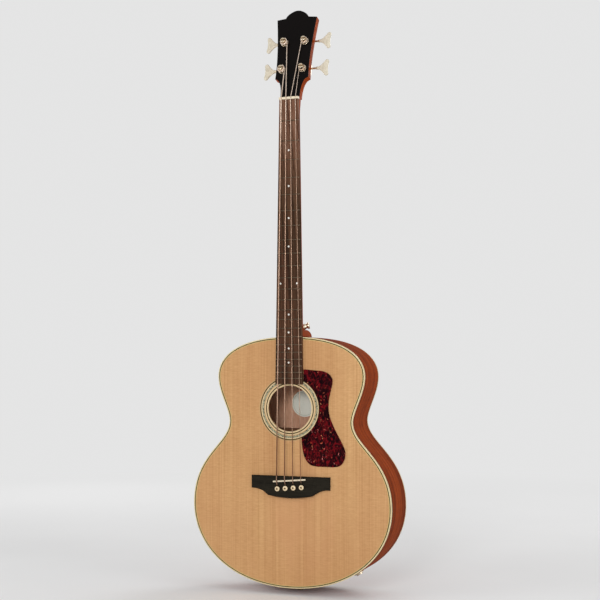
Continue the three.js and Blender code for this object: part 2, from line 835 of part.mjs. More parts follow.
function headShape(margin) {
  const half = nutWidth / 2;
  const shoulder = headShoulderWidth / 2;
  const top = headTopWidth / 2;
  const crown = headCrownWidth / 2;
  const crownTop = headTopHeight + headCrownRise;
  const shape = new THREE.Shape();
  shape.moveTo(half, margin);
  shape.quadraticCurveTo(half, headShoulderHeight * headShoulderTurnShare, shoulder, headShoulderHeight);
  const bowed = shoulder - (top - shoulder) * headFlareBowShare;
  shape.quadraticCurveTo(bowed, headTopHeight / 2, top, headTopHeight);
  shape.lineTo(crown, headTopHeight + headCrownRise * headCrownShoulderShare);
  const crownNeckZ = headTopHeight + headCrownRise * headCrownNeckShare;
  const crownTurnZ = headTopHeight + headCrownRise / 2;
  shape.quadraticCurveTo(crown * headCrownTurnShare, crownTurnZ, crown / 2, crownNeckZ);
  shape.quadraticCurveTo(crown / 4, crownTop, 0, crownTop);
  const right = shape.getPoints(headCurveSteps);
  const left = right.slice(0, -1).reverse().map((point) => new THREE.Vector2(-point.x, point.y));
  return new THREE.Shape([...right, ...left]);
}

function postHoles(radius) {
  return postPlaces.map(({ x, z }) => barAlongY(radius, -overrun, headThickness + overrun, x, z));
}

function headBlank() {
  const blank = flatPlate(headShape(0), 0, headThickness);
  return cut(blank, ...postHoles(bushingSleeveRadius + seat)).applyMatrix4(headFrame);
}

function neck() {
  const body = join(neckShaft(), heel(), tenonRoom(0), headBlank());
  const veneerRoom = boxBetween([-headTopWidth, -headThickness, 0],
    [headTopWidth, veneerThickness + seat, headTopHeight + headTopWidth]);
  return cut(body, rodSlot(neckBlockZ, nutZ - trussRodFromNut + seat), veneerRoom.applyMatrix4(headFrame));
}

function headVeneer() {
  const sheet = flatPlate(headShape(seat), 0, veneerThickness);
  return cut(sheet, ...postHoles(bushingSleeveRadius + seat));
}

function fretZ(number) {
  return nutZ - scaleLength * (1 - 2 ** (-number / fretsPerOctave));
}

// As many frets as the board has room for
const lastFretToSaddle = scaleLength - boardLength + fretFromBoardEnd;
const fretCount = Math.floor(fretsPerOctave * Math.log2(scaleLength / lastFretToSaddle));

function fret(number) {
  const z = fretZ(number);
  const half = boardWidthAt(z) / 2 - seat;
  const foot = fretWidth / 2;
  const crest = foot / 2;
  const shape = new THREE.Shape([
    new THREE.Vector2(-foot, -fretRoot),
    new THREE.Vector2(foot, -fretRoot),
    new THREE.Vector2(foot, fretHeight / 2),
    new THREE.Vector2(crest, fretHeight),
    new THREE.Vector2(-crest, fretHeight),
    new THREE.Vector2(-foot, fretHeight / 2),
  ]);
  const bar = new THREE.ExtrudeGeometry(shape, { depth: 2 * half, bevelEnabled: false });
  const turn = new THREE.Matrix4().makeBasis(new THREE.Vector3(0, 0, 1), new THREE.Vector3(0, -1, 0),
    new THREE.Vector3(1, 0, 0));
  return bar.translate(0, 0, -half).applyMatrix4(turn).translate(0, boardFrontY, z);
}

function fingerboard() {
  const end = boardEndWidth / 2;
  const start = nutWidth / 2;
  const outline = new THREE.Shape([
    new THREE.Vector2(-end, boardEndZ),
    new THREE.Vector2(end, boardEndZ),
    new THREE.Vector2(start, nutZ - seat),
    new THREE.Vector2(-start, nutZ - seat),
  ]);
  const board = flatPlate(outline, boardFrontY, frontY - seat);
  const frets = Array.from({ length: fretCount }, (unused, order) => fret(order + 1));
  return join(board, ...frets);
}

function nut() {
  const low = [-nutWidth / 2, frontY - seat - nutHeight, nutZ];
  const block = boxBetween(low, [nutWidth / 2, frontY - seat, nutZ + nutThickness]);
  return cut(block, ...stringChannels, ...stringGauges.map((gauge, index) => slotAboveString(index)));
}

// Each nut slot is open toward the front
function slotAboveString(index) {
  const x = nutStringX(index);
  const half = stringGauges[index] / 2 + seat;
  const bottom = fretTopY - nutAction - half;
  const high = [x + half, bottom, nutZ + nutThickness + overrun];
  return boxBetween([x - half, bottom - nutHeight, nutZ - overrun], high);
}

function trussRod() {
  const top = nutZ - trussRodFromNut;
  const bottom = neckBlockZ - trussNutLength - seat;
  const rod = new THREE.CylinderGeometry(trussRodRadius, trussRodRadius, top - bottom, rodSides);
  return rod.rotateX(Math.PI / 2).translate(0, frontY + trussRodDepth, (top + bottom) / 2);
}

function trussRodNut() {
  const bore = trussRodRadius + seat;
  const half = trussNutLength / 2;
  const outer = trussNutRadius;
  const profile = [[bore, -half], [outer, -half], [outer, half], [bore, half], [bore, -half]];
  const ring = latheAlongY(profile, rodSides);
  return ring.rotateX(Math.PI / 2).translate(0, frontY + trussRodDepth, neckBlockZ - seat - half);
}

// Bridge and what it carries
function bridgeOutline() {
  const half = bridgeLength / 2;
  const flat = bridgeFlatLength / 2;
  const cusp = bridgeShoulderLength / 2;
  const endZ = bridgeEdgeZ - bridgeEndHeight;
  const cuspZ = bridgeEdgeZ - bridgeBellyHeight * bridgeCuspShare;
  const bellyZ = bridgeEdgeZ - bridgeBellyHeight;
  const [outShare, upShare] = bridgeScallopShares;
  const shape = new THREE.Shape();
  shape.moveTo(0, bellyZ);
  shape.quadraticCurveTo(cusp / 2, bellyZ, cusp, cuspZ);
  shape.quadraticCurveTo(cusp + (flat - cusp) * outShare, cuspZ + (endZ - cuspZ) * upShare, flat, endZ);
  shape.lineTo(half, endZ);
  shape.lineTo(half, bridgeEdgeZ);
  shape.lineTo(0, bridgeEdgeZ);
  const right = shape.getPoints(bridgeCurveSteps);
  const left = right.slice(1, -1).reverse().map((point) => new THREE.Vector2(-point.x, point.y));
  return new THREE.Shape([...right, ...left].map((point) => point.add(new THREE.Vector2(bridgeShift, 0))));
}

// A slab across the bridge, along the slanted saddle line
function slantedSlab(length, thickness, fromY, toY) {
  const slab = new THREE.BoxGeometry(length, toY - fromY, thickness);
  slab.rotateY(-slantAngle);
  return slab.translate(bridgeShift, (fromY + toY) / 2, saddleZ);
}

function bridge() {
  const block = flatPlate(bridgeOutline(), bridgeFrontY, frontY - seat);
  const slotThickness = saddleThickness + 2 * seat;
  const slot = slantedSlab(saddleLength + 2 * seat, slotThickness, bridgeFrontY - overrun, saddleFloorY);
  return cut(block, slot, ...pinRooms, ...stringChannels);
}

function saddlePickup() {
  const backFace = saddleFloorY - seat;
  return slantedSlab(saddleLength - 2 * seat, saddleThickness, backFace - pickupThickness, backFace);
}

function saddle() {
  const footY = saddleFloorY - 2 * seat - pickupThickness;
  return cut(slantedSlab(saddleLength, saddleThickness, saddleTopY, footY), ...stringChannels);
}

function bridgePin(index) {
  const rim = pinHeadRadius;
  const profile = [
    [0, pinLength],
    [pinTipRadius, pinLength],
    [pinShankRadius, 0],
    [pinShankRadius, -seat],
    [rim, -seat],
    [rim, -pinHeadHeight / 2],
    [rim * Math.SQRT1_2, -pinHeadHeight],
    [0, -pinHeadHeight],
  ];
  const pin = latheAlongY(profile.reverse(), rodSides);
  return cut(pin.translate(pinX(index), bridgeFrontY, pinZ(index)), stringChannels[index]);
}

// Plain glued pieces on the soundboard
function pickguard() {
  const nearBoard = boardWidthAt(boardEndZ) / 2 + guardFromBoard;
  const ring = guardInnerRadius;
  const spread = halfLower;
  const edgeShares = [
    [0.16, 0.545], [0.25, 0.533], [0.338, 0.52], [0.4, 0.472], [0.428, 0.39], [0.412, 0.26],
    [0.39, 0.1], [0.395, -0.07], [0.435, -0.23], [0.5, -0.41], [0.547, -0.55], [0.553, -0.65],
    [0.525, -0.745], [0.47, -0.793], [0.36, -0.797], [0.255, -0.793], [0.195, -0.76], [0.15, -0.67],
    [0.128, -0.53], [0.121, -0.4],
  ];
  const rise = soundholeFromHeelEnd;
  const edge = edgeShares.map(([across, up]) => new THREE.Vector2(across * spread, soundholeZ + up * rise));
  const joinAngle = Math.acos(nearBoard / ring);
  const lastPoint = edge[edge.length - 1];
  const startAngle = Math.atan2(lastPoint.y - soundholeZ, lastPoint.x);
  const shape = new THREE.Shape();
  shape.moveTo(nearBoard, soundholeZ + ring * Math.sin(joinAngle));
  shape.lineTo(nearBoard, edge[0].y);
  shape.lineTo(edge[0].x, edge[0].y);
  shape.splineThru(edge.slice(1));
  shape.absarc(0, soundholeZ, ring, startAngle, joinAngle, false);
  const outline = new THREE.Shape(shape.getPoints(guardCurveSteps));
  return flatPlate(outline, frontY - seat - guardThickness, frontY - seat);
}

// Strings with their windings and ball ends
function stringPoints(index) {
  const [nutCorner, ...corners] = stretchCorners(index);
  const winding = windingPoints(index);
  const leaving = winding[winding.length - 1];
  return [...winding.slice(0, -1), ...bend([leaving, nutCorner, ...corners])];
}

function string(index) {
  const points = stringPoints(index);
  const ballEnd = points[points.length - 1];
  const half = ballLength / 2;
  const ball = barAlongY(ballRadius, ballEnd.y - half, ballEnd.y + half, ballEnd.x, ballEnd.z, ballSides);
  return join(tube(points, stringGauges[index] / 2, stringSides), ball);
}

// The least gap between turns of one winding
function leastGap(index) {
  const points = windingPoints(index);
  let least = Infinity;
  points.forEach((point, first) => {
    for (let second = first + windingSteps / 2; second < points.length; second += 1) {
      least = Math.min(least, point.distanceTo(points[second]));
    }
  });
  return least - stringGauges[index];
}

stringNames.forEach((name, index) => {
  console.log(`least gap of the ${name} string to itself: ${leastGap(index).toFixed(2)} mm`);
});

// Tuning machines, drawn round the post's axis with the key toward +X
function bushing() {
  const bore = postRadius + seat;
  return latheAlongY([
    [bore, bushingSleeveLength],
    [bore, -seat - bushingFlangeThickness],
    [bushingFlangeRadius - bushingFlangeThickness / 2, -seat - bushingFlangeThickness],
    [bushingFlangeRadius, -seat - bushingFlangeThickness / 2],
    [bushingFlangeRadius, -seat],
    [bushingSleeveRadius, -seat],
    [bushingSleeveRadius, bushingSleeveLength],
    [bore, bushingSleeveLength],
  ]);
}

function gearWheel() {
  const points = [];
  for (let half = 0; half < 2 * gearTeeth; half += 1) {
    const radius = half % 2 === 0 ? gearRadius : gearRadius * gearToothDepthShare;
    const angle = half / gearTeeth * Math.PI;
    points.push(new THREE.Vector2(radius * Math.cos(angle), radius * Math.sin(angle)));
  }
  return flatPlate(new THREE.Shape(points), plateBackY + seat, plateBackY + seat + gearThickness);
}

function post() {
  const bottom = plateBackY + seat + gearThickness;
  const shaft = latheAlongY([
    [0, -postHeight],
    [postRadius * postTopShare, -postHeight],
    [postRadius, -postHeight + seat],
    [postRadius, bottom - seat],
    [0, bottom - seat],
  ]);
  const slot = boxBetween([-postRadius - overrun, -postHeight - overrun, -slotWidth / 2],
    [postRadius + overrun, -postHeight + slotDepth, slotWidth / 2]);
  return join(cut(shaft, slot), gearWheel());
}

// A round rod along X
function alongX(radius, fromX, toX) {
  const rod = new THREE.CylinderGeometry(radius, radius, toX - fromX, rodSides);
  return rod.rotateZ(Math.PI / 2).translate((fromX + toX) / 2, 0, 0);
}

function tunerPlate() {
  const half = plateWidth / 2;
  const base = boxBetween([-half, headBackY + seat, -plateDrop], [half, plateBackY, plateHeight - plateDrop]);
  const lugs = [-1, 1].map((side) => box(lugThickness, lugHeight + seat, lugWidth,
    side * (wormLength / 2 + seat + lugThickness / 2), wormY - seat / 2, wormOffset));
  const shaftRoom = alongX(keyShaftRadius + seat, -plateWidth, plateWidth).translate(0, wormY, wormOffset);
  const postRoom = barAlongY(postRadius + seat, headBackY - overrun, plateBackY + overrun, 0, 0);
  return cut(join(base, ...lugs), shaftRoom, postRoom);
}

// Each half of the grip runs along a flank to a round lobe; the outer edge is hollow between the lobes
function keyShape() {
  const inner = keyReach - keyLength;
  const neckHalf = keyNeckWidth / 2;
  const lobeX = keyReach - keyLobeRadius;
  const lobeZ = keyWidth / 2 - keyLobeRadius;
  const onLobe = (z, angle) => [
    lobeX + keyLobeRadius * Math.cos(angle),
    z + keyLobeRadius * Math.sin(angle),
  ];
  const flankTurn = THREE.MathUtils.degToRad(keyFlankDegrees);
  const hollowTurn = THREE.MathUtils.degToRad(keyHollowDegrees);
  const flankStart = Math.PI * 3 / 2 - flankTurn;
  const [flankX, flankZ] = onLobe(-lobeZ, flankStart);
  const [hollowX, hollowZ] = onLobe(lobeZ, -hollowTurn);
  const bendX = flankX + (flankZ + neckHalf) / Math.tan(flankTurn);
  const shape = new THREE.Shape();
  shape.moveTo(inner, -neckHalf);
  shape.quadraticCurveTo(bendX, -neckHalf, flankX, flankZ);
  shape.absarc(lobeX, -lobeZ, keyLobeRadius, flankStart, Math.PI * 2 + hollowTurn);
  shape.quadraticCurveTo(hollowX - hollowZ * Math.tan(hollowTurn), 0, hollowX, hollowZ);
  shape.absarc(lobeX, lobeZ, keyLobeRadius, -hollowTurn, Math.PI / 2 + flankTurn);
  shape.quadraticCurveTo(bendX, neckHalf, inner, neckHalf);
  return shape;
}

function tunerKey() {
  const thick = { depth: keyThickness - 2 * keyBevel, bevelThickness: keyBevel, bevelSize: keyBevel,
    bevelOffset: -keyBevel, bevelSegments: 1, curveSegments: keyCurveSteps };
  const grip = new THREE.ExtrudeGeometry(keyShape(), thick).translate(0, 0, keyBevel - keyThickness / 2);
  grip.rotateX(Math.PI / 2);
  const start = -wormLength / 2 - seat - lugThickness;
  const end = keyReach - keyLength + keyBevel * 2;
  const worm = alongX(wormRadius, -wormLength / 2, wormLength / 2);
  return join(alongX(keyShaftRadius, start, end), worm, grip);
}

// Strap buttons and jack, drawn along +Y and turned into place
function strapButton(height, stemLength) {
  return latheAlongY([
    [0, -stemLength],
    [endPinStemRadius, -stemLength],
    [endPinStemRadius, seat],
    [pinButtonBaseRadius, seat],
    [pinButtonBaseRadius, height / 4],
    [pinButtonWaistRadius, height / 2],
    [pinButtonRadius, height * 3 / 4],
    [pinButtonRadius * pinButtonFaceShare, height],
    [0, height],
  ]);
}

function endPin() {
  return strapButton(endPinHeight, endPinStemLength).rotateX(-Math.PI / 2).translate(0, 0, tailZ);
}

// The heel's button stands square to the cheek
function heelButton() {
  const foot = heelCheek(heelButtonDepth, heelButtonRise);
  const back = heelCheek(heelButtonDepth + overrun, heelButtonRise).sub(foot);
  const up = heelCheek(heelButtonDepth, heelButtonRise + overrun).sub(foot);
  const outward = back.cross(up).normalize();
  const turn = new THREE.Quaternion().setFromUnitVectors(new THREE.Vector3(0, 1, 0), outward);
  foot.addScaledVector(outward, 2 * seat);
  return strapButton(heelButtonHeight, 0).applyQuaternion(turn).translate(...foot);
}

function outputJack() {
  const flangeTop = seat + jackFlangeThickness;
  const nutTop = flangeTop + jackNutThickness;
  return turnToJack(latheAlongY([
    [0, nutTop - jackBoreLength],
    [jackBoreRadius, nutTop - jackBoreLength],
    [jackBoreRadius, nutTop],
    [jackNutRadius, nutTop],
    [jackNutRadius, flangeTop],
    [jackFlangeRadius, flangeTop],
    [jackFlangeRadius, seat],
    [jackBarrelRadius, seat],
    [jackBarrelRadius, -jackBarrelLength],
    [0, -jackBarrelLength],
  ].reverse()));
}

// The assembly
const guitar = new THREE.Group();
const head = new THREE.Group();
head.applyMatrix4(headFrame);
guitar.add(head);

function add(parent, name, geometry, [color, roughness, metalness]) {
  const mesh = new THREE.Mesh(geometry, new THREE.MeshStandardMaterial({ color, roughness, metalness }));
  mesh.name = name;
  parent.add(mesh);
  return mesh;
}

function addBody() {
  add(guitar, 'soundboard', soundboard(), spruce);
  add(guitar, 'back', backPlate(), mahogany);
  add(guitar, 'side_bass', sideWall(-1), mahogany);
  add(guitar, 'side_treble', sideWall(1), mahogany);
  add(guitar, 'neck_block', neckBlock(), kerfedMahogany);
  add(guitar, 'tail_block', tailBlock(), kerfedMahogany);
  add(guitar, 'lining_front_bass', lining(-1, true), kerfedMahogany);
  add(guitar, 'lining_front_treble', lining(1, true), kerfedMahogany);
  add(guitar, 'lining_back_bass', lining(-1, false), kerfedMahogany);
  add(guitar, 'lining_back_treble', lining(1, false), kerfedMahogany);
  add(guitar, 'binding_front', frontBinding(), ivoryPlastic);
  add(guitar, 'binding_back', backBinding(), ivoryPlastic);
  add(guitar, 'rosette', rosette(), ivoryPlastic);
  add(guitar, 'pickguard', pickguard(), tortoiseshell);
  add(guitar, 'soundhole_label', label(), paper);
}

function addBraces() {
  add(guitar, 'cross_brace_bass', crossBrace(-1), innerSpruce);
  add(guitar, 'cross_brace_treble', crossBrace(1), innerSpruce);
  add(guitar, 'upper_brace', upperBrace(), innerSpruce);
  toneBarHeightShares.forEach((share, order) => {
    add(guitar, `tone_bar_${order + 1}`, toneBar(order), innerSpruce);
  });
  backBraceHeightShares.forEach((share, order) => {
    add(guitar, `back_brace_${order + 1}`, backBrace(order), innerSpruce);
  });
  add(guitar, 'bridge_plate', bridgePlate(), rosewood);
}

function addNeck() {
  add(guitar, 'neck', neck(), mahogany);
  add(guitar, 'fingerboard', fingerboard(), rosewood);
  add(guitar, 'nut', nut(), bone);
  add(guitar, 'truss_rod', trussRod(), steel);
  add(guitar, 'truss_rod_nut', trussRodNut(), steel);
  add(head, 'head_veneer', headVeneer(), blackGloss);
}

function addBridge() {
  add(guitar, 'bridge', bridge(), ebony);
  add(guitar, 'saddle', saddle(), bone);
  add(guitar, 'saddle_pickup', saddlePickup(), steel);
  stringNames.forEach((name, index) => {
    add(guitar, `bridge_pin_${name}`, bridgePin(index), ivoryPlastic);
    add(guitar, `string_${name}`, string(index), bronzeString);
  });
}

function addTuner(name, { side, x, z }) {
  const machine = new THREE.Group();
  machine.position.set(x, 0, z);
  head.add(machine);
  add(machine, `tuner_bushing_${name}`, bushing(), nickel);
  add(machine, `tuner_post_${name}`, post(), nickel);
  add(machine, `tuner_plate_${name}`, tunerPlate(), nickel);
  const key = add(machine, `tuner_key_${name}`, tunerKey(), pearlKey);
  key.position.set(0, wormY, wormOffset);
  key.rotation.y = side > 0 ? 0 : Math.PI;
}

function addHardware() {
  stringNames.forEach((name, index) => addTuner(name, postPlaces[index]));
  add(guitar, 'end_pin', endPin(), nickel);
  add(guitar, 'heel_strap_button', heelButton(), nickel);
  add(guitar, 'output_jack', outputJack(), nickel);
}

addBody();
addBraces();
addNeck();
addBridge();
addHardware();

export default guitar;
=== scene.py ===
"""Looks of the acoustic bass guitar. Sizes are in millimetres until a mesh is made, then in metres."""

from math import acos, atan2, copysign, cos, dist, pi, radians, sin, sqrt, tan

import bmesh
import bpy
from mathutils import Matrix, Vector


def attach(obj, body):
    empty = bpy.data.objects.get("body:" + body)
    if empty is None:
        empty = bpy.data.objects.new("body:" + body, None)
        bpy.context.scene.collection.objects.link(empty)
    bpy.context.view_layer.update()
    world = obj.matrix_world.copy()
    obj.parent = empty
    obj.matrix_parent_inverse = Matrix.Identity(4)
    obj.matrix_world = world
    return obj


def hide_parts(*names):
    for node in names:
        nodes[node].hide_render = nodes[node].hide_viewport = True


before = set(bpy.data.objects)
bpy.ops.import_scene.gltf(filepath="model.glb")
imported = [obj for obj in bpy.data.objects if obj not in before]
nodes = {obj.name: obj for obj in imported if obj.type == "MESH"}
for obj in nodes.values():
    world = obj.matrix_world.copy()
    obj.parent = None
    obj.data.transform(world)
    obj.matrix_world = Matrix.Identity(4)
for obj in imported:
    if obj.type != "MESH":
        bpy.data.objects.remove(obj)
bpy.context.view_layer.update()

shift = Matrix.Translation
MM = 0.001
SEAT = 0.3

# Body
TAIL_Z = 14.0
BODY_LENGTH = 519.0
HEEL_END_Z = TAIL_Z + BODY_LENGTH
HALF_LOWER = 217.5
HALF_WAIST = 135.2
HALF_UPPER = 161.0
LOW_Z = BODY_LENGTH * 0.3276
WAIST_Z = BODY_LENGTH * 0.6628
HIGH_Z = BODY_LENGTH * 0.842
TAIL_DEPTH = 130.0
HEEL_END_DEPTH = 102.0
BACK_ARCH = 6.0
FRONT_Y = -65.0
TOP_THICKNESS = 3.2
BACK_THICKNESS = 3.0
SIDE_THICKNESS = 2.5
TOP_UNDER_Y = FRONT_Y + TOP_THICKNESS
OUTLINE_STEPS = (40, 26, 22, 32)

# Binding and purfling, as distances from the body's edge
BINDING = 2.2
DARK_LINE_END = 4.0
PALE_LINE_END = 5.2
FRONT_BINDING_HEIGHT = 4.5
FRONT_ROUNDING = 0.9
BACK_BINDING_HEIGHT = 5.0
BACK_ROUNDING = 1.4

# Soundhole
SOUNDHOLE_Z = 385.0
SOUNDHOLE_RADIUS = 47.5
ROSETTE_RADIUS = 67.5
ROSETTE_THICKNESS = 1.2
LABEL_RADIUS = 28.5
LABEL_THICKNESS = 0.3
LABEL_X = -6.0
LABEL_Z = SOUNDHOLE_Z + 6.0

# Pickguard
GUARD_THICKNESS = 1.5
GUARD_FROM_BOARD = 0.6
GUARD_INNER_RADIUS = 64.5

# Neck
SCALE_LENGTH = 781.0
NUT_Z = HEEL_END_Z + SCALE_LENGTH * (1 - 2 ** (-17 / 12))
NUT_WIDTH = 42.0
NUT_THICKNESS = 5.0
NUT_HEIGHT = 9.2
BOARD_LENGTH = 586.0
BOARD_END_WIDTH = 60.0
BOARD_THICKNESS = 6.5
BOARD_END_Z = NUT_Z - BOARD_LENGTH
BOARD_Y = FRONT_Y - SEAT - BOARD_THICKNESS
BOARD_CROWN_RADIUS = 420.0
BOARD_ROUNDING = 0.35
FRET_COUNT = 23
FRET_HEIGHT = 1.2
FRET_WIDTH = 2.0
FRET_DEPTH = 0.4
DOT_RADIUS = 2.0
NECK_DEPTH_NUT = 16.0
NECK_DEPTH_HEEL = 19.0
SQUARING_Z = NUT_Z - 36.0
HEEL_REACH = 94.0
HEEL_CAP_WIDTH = 30.0
HEEL_CAP_HEIGHT = 16.0
HEEL_ROOT_HEIGHT = 74.0

# Headstock, in a frame of its own: across, back and up
HEAD_BASE_Z = NUT_Z + NUT_THICKNESS + SEAT
HEAD_TILT = radians(14)
HEAD_THICKNESS = 16.0
VENEER_THICKNESS = 1.5
HEAD_SHOULDER = (36.5, 44.0)
HEAD_TOP = (44.0, 179.5)
HEAD_CROWN = (25.0, 18.5)
HEAD_FRAME = shift((0, FRONT_Y, HEAD_BASE_Z)) @ Matrix.Rotation(-HEAD_TILT, 4, "X")

# Bridge
BRIDGE_X = 2.5
BRIDGE_THICKNESS = 9.0
BRIDGE_Y = FRONT_Y - SEAT - BRIDGE_THICKNESS
SADDLE_Z = NUT_Z - SCALE_LENGTH - 3.2
BRIDGE_EDGE_Z = SADDLE_Z + 8.5
BRIDGE_HALF = 86.0
BRIDGE_FLAT = 79.0
BRIDGE_CUSP = 48.5
BRIDGE_END_HEIGHT = 26.6
BRIDGE_BELLY_HEIGHT = 44.6
BRIDGE_ROUNDING = 1.6
BRIDGE_END_ROUNDING = 2.0
WING_X = 46.0
WING_SLOPE = 17.0
WING_DROP = 4.4
SLANT = radians(4.7)
SADDLE_LENGTH = 71.0
SADDLE_THICKNESS = 3.2
SADDLE_TOP_Y = BOARD_Y - FRET_HEIGHT - 4.9
PIN_SETBACK = 15.5
PIN_RADIUS = 5.2
PIN_LENGTH = 22.0
PIN_DOT_RADIUS = 2.0

# Strings
STRINGS = ("e", "a", "d", "g")
GAUGES = (2.54, 2.16, 1.65, 1.14)
NUT_SPACING = 10.2
SADDLE_SPACING = 17.6
STRING_BEND = 4.0
WRAP_PITCH = 0.00055
POST_TURNS = 2.1

# Tuning machines
POST_X = 22.5
POST_UP = {"e": 63.0, "a": 125.0, "d": 125.0, "g": 63.0}
POST_RADIUS = 5.2
POST_HEIGHT = 14.5
BUSHING_STEM_RADIUS = 6.6
BUSHING_RIM_RADIUS = 8.0
BUSHING_RIM_HEIGHT = 1.6
BUSHING_DEPTH = 9.0
PLATE_BACK_Y = HEAD_THICKNESS + SEAT + 1.5
LUG_X = 8.1
LUG_HALF_THICKNESS = 1.8
WORM_Y = PLATE_BACK_Y + 4.6
WORM_OFFSET = 10.0
WORM_PITCH = 1.95
WORM_HALF_LENGTH = 6.0
WORM_RADIUS = 3.3
WORM_THREAD_DEPTH = 0.95
SHAFT_RADIUS = 2.1
SHAFT_ENDS = (-9.9, 24.6)
GEAR_TEETH = 20
GEAR_RADII = (5.4, 6.2)
GEAR_THICKNESS = 4.6
KEY_REACH = 49.0
KEY_LENGTH = 24.5
KEY_WIDTH = 36.5
KEY_NECK_WIDTH = 6.0
KEY_LOBE_RADIUS = 4.6
KEY_THICKNESS = 5.0
KEY_ROUNDING = 2.3

# Strap buttons and jack: places, and the ways that they face
HEEL_BUTTON = Vector((34.431, -41.660, 557.029))
HEEL_BUTTON_WAY = Vector((0.92077, 0.26428, 0.28695))
HEEL_BUTTON_HEIGHT = 12.0
TAIL_PIN_HEIGHT = 14.0
TAIL_PIN_STEM = 22.0
JACK = Vector((129.0, 0, 44.2))
JACK_WAY = Vector((0.54348, 0, -0.83942))

# The photo's view and its background
VIEW_TURN = radians(20)
VIEW_DISTANCE = 2447.1
VIEW_ASIDE = 21.04
VIEW_Z = 490.62
VIEW_LENS = 71.19
VIEW_SHIFT = 0.0955
PALE = 0.78


# Mesh helpers


def linked(name, data):
    """A new object in the scene."""
    made = bpy.data.objects.new(name, data)
    bpy.context.scene.collection.objects.link(made)
    return made


def mesh_of(work, name="part"):
    """A mesh from a bmesh, which is freed."""
    mesh = bpy.data.meshes.new(name)
    bmesh.ops.recalc_face_normals(work, faces=work.faces)
    work.to_mesh(mesh)
    work.free()
    return mesh


def work_of(mesh):
    """A bmesh from a mesh, which is removed."""
    work = bmesh.new()
    work.from_mesh(mesh)
    bpy.data.meshes.remove(mesh)
    return work


def evaluated(*holders):
    """The first object's mesh with its modifiers; the objects are removed."""
    graph = bpy.context.evaluated_depsgraph_get()
    mesh = bpy.data.meshes.new_from_object(holders[0].evaluated_get(graph))
    for holder in holders:
        bpy.data.objects.remove(holder)
    return mesh


def object_of(name, work, material, angle=35):
    """An object at the origin, in metres, from a bmesh in millimetres of the row frame."""
    mesh = mesh_of(work, name)
    mesh.transform(Matrix.Scale(MM, 4))
    mesh.shade_smooth()
    mesh.set_sharp_from_angle(angle=radians(angle))
    mesh.materials.append(material)
    return linked(name, mesh)


def piece(name, work, material, node, body="root", angle=35):
    """A piece on that body, which takes the place of a node."""
    made = object_of(name, work, material, angle)
    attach(made, body)
    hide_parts(node)
    return made


def moved(work, matrix):
    bmesh.ops.transform(work, matrix=matrix, verts=work.verts)
    return work


def welded(work, distance=1e-3):
    bmesh.ops.remove_doubles(work, verts=work.verts, dist=distance)
    return work


def merge(first, *others):
    """Other bmeshes copied into the first one."""
    for other in others:
        mesh = mesh_of(other)
        first.from_mesh(mesh)
        bpy.data.meshes.remove(mesh)
    return first


def boolean(operation, first, *others):
    """The first bmesh, changed by the others one after another."""
    for other in others:
        holders = [linked("part", mesh_of(work)) for work in (first, other)]
        change = holders[0].modifiers.new("change", "BOOLEAN")
        change.operation = operation
        change.solver = "EXACT"
        change.object = holders[1]
        first = work_of(evaluated(*holders))
    return first


def joined(first, *others):
    return boolean("UNION", first, *others)


def cut(first, *others):
    return boolean("DIFFERENCE", first, *others)


def arc(middle, radius, start, end, steps):
    """Points on a circle from one angle to another."""
    x, z = middle
    angles = [start + (end - start) * step / steps for step in range(steps + 1)]
    return [(x + radius * cos(angle), z + radius * sin(angle)) for angle in angles]


def circle(middle, radius, sides=96):
    return arc(middle, radius, 0, 2 * pi, sides)[:-1]


def quarter(radius, steps):
    """A rounded edge, from the face outwards, as (distance from the side, distance from the face)."""
    return [(radius - sine, radius - cosine) for cosine, sine in arc((0, 0), radius, 0, pi / 2, steps)]


def bezier(points, share):
    """The place at that share of a curve with these control points, and its direction."""
    points = [Vector(point) for point in points]
    while len(points) > 2:
        points = [here.lerp(after, share) for here, after in zip(points, points[1:])]
    return points[0].lerp(points[1], share), (points[1] - points[0]).normalized()


def curve(*points, steps=14):
    """Places on the curve with these control points, without the first."""
    return [tuple(bezier(points, step / steps)[0]) for step in range(1, steps + 1)]


def rounded(route, radius, steps=4):
    """The route with its inner corners rounded off by short curves."""
    made = [route[0]]
    for points in zip(route, route[1:], route[2:]):
        before, here, after = (Vector(point) for point in points)
        reach = min(radius, (before - here).length * 0.45, (after - here).length * 0.45)
        start = here + (before - here).normalized() * reach
        end = here + (after - here).normalized() * reach
        made += [tuple(start)] + curve(start, here, end, steps=steps)
    return made + [route[-1]]


def mirrored(half):
    """A closed outline from its treble half, which starts and ends on the centre line or beside it."""
    return half + [(-x, z) for x, z in reversed(half) if abs(x) > 1e-6]


def box_mesh(low, high):
    size = [b - a for a, b in zip(low, high)]
    middle = [(a + b) / 2 for a, b in zip(low, high)]
    work = bmesh.new()
    bmesh.ops.create_cube(work, size=1, matrix=shift(middle) @ Matrix.Diagonal((*size, 1)))
    return work


def rounded_box(low, high, width, segments):
    work = box_mesh(low, high)
    bmesh.ops.bevel(work, geom=work.edges[:], offset=width, segments=segments, affect="EDGES", profile=0.5,
                    clamp_overlap=True)
    return work


def flat_mesh(loops, front, back, bevel=0.0):
    """A plate with X and Z outlines (the first one outside, the others holes) and rounded edges."""
    data = bpy.data.curves.new("outline", "CURVE")
    data.dimensions = "2D"
    data.fill_mode = "BOTH"
    for loop in loops:
        spline = data.splines.new("POLY")
        spline.points.add(len(loop) - 1)
        for place, (x, z) in zip(spline.points, loop):
            place.co = (x, z, 0, 1)
        spline.use_cyclic_u = True
    data.extrude = max((back - front) / 2 - bevel, 0.0)
    data.bevel_depth = bevel
    data.bevel_resolution = 3
    data.offset = -bevel
    mesh = evaluated(linked("outline", data))
    bpy.data.curves.remove(data)
    mesh.transform(Matrix(((1, 0, 0, 0), (0, 0, -1, (front + back) / 2), (0, 1, 0, 0), (0, 0, 0, 1))))
    return welded(work_of(mesh), 1e-4)


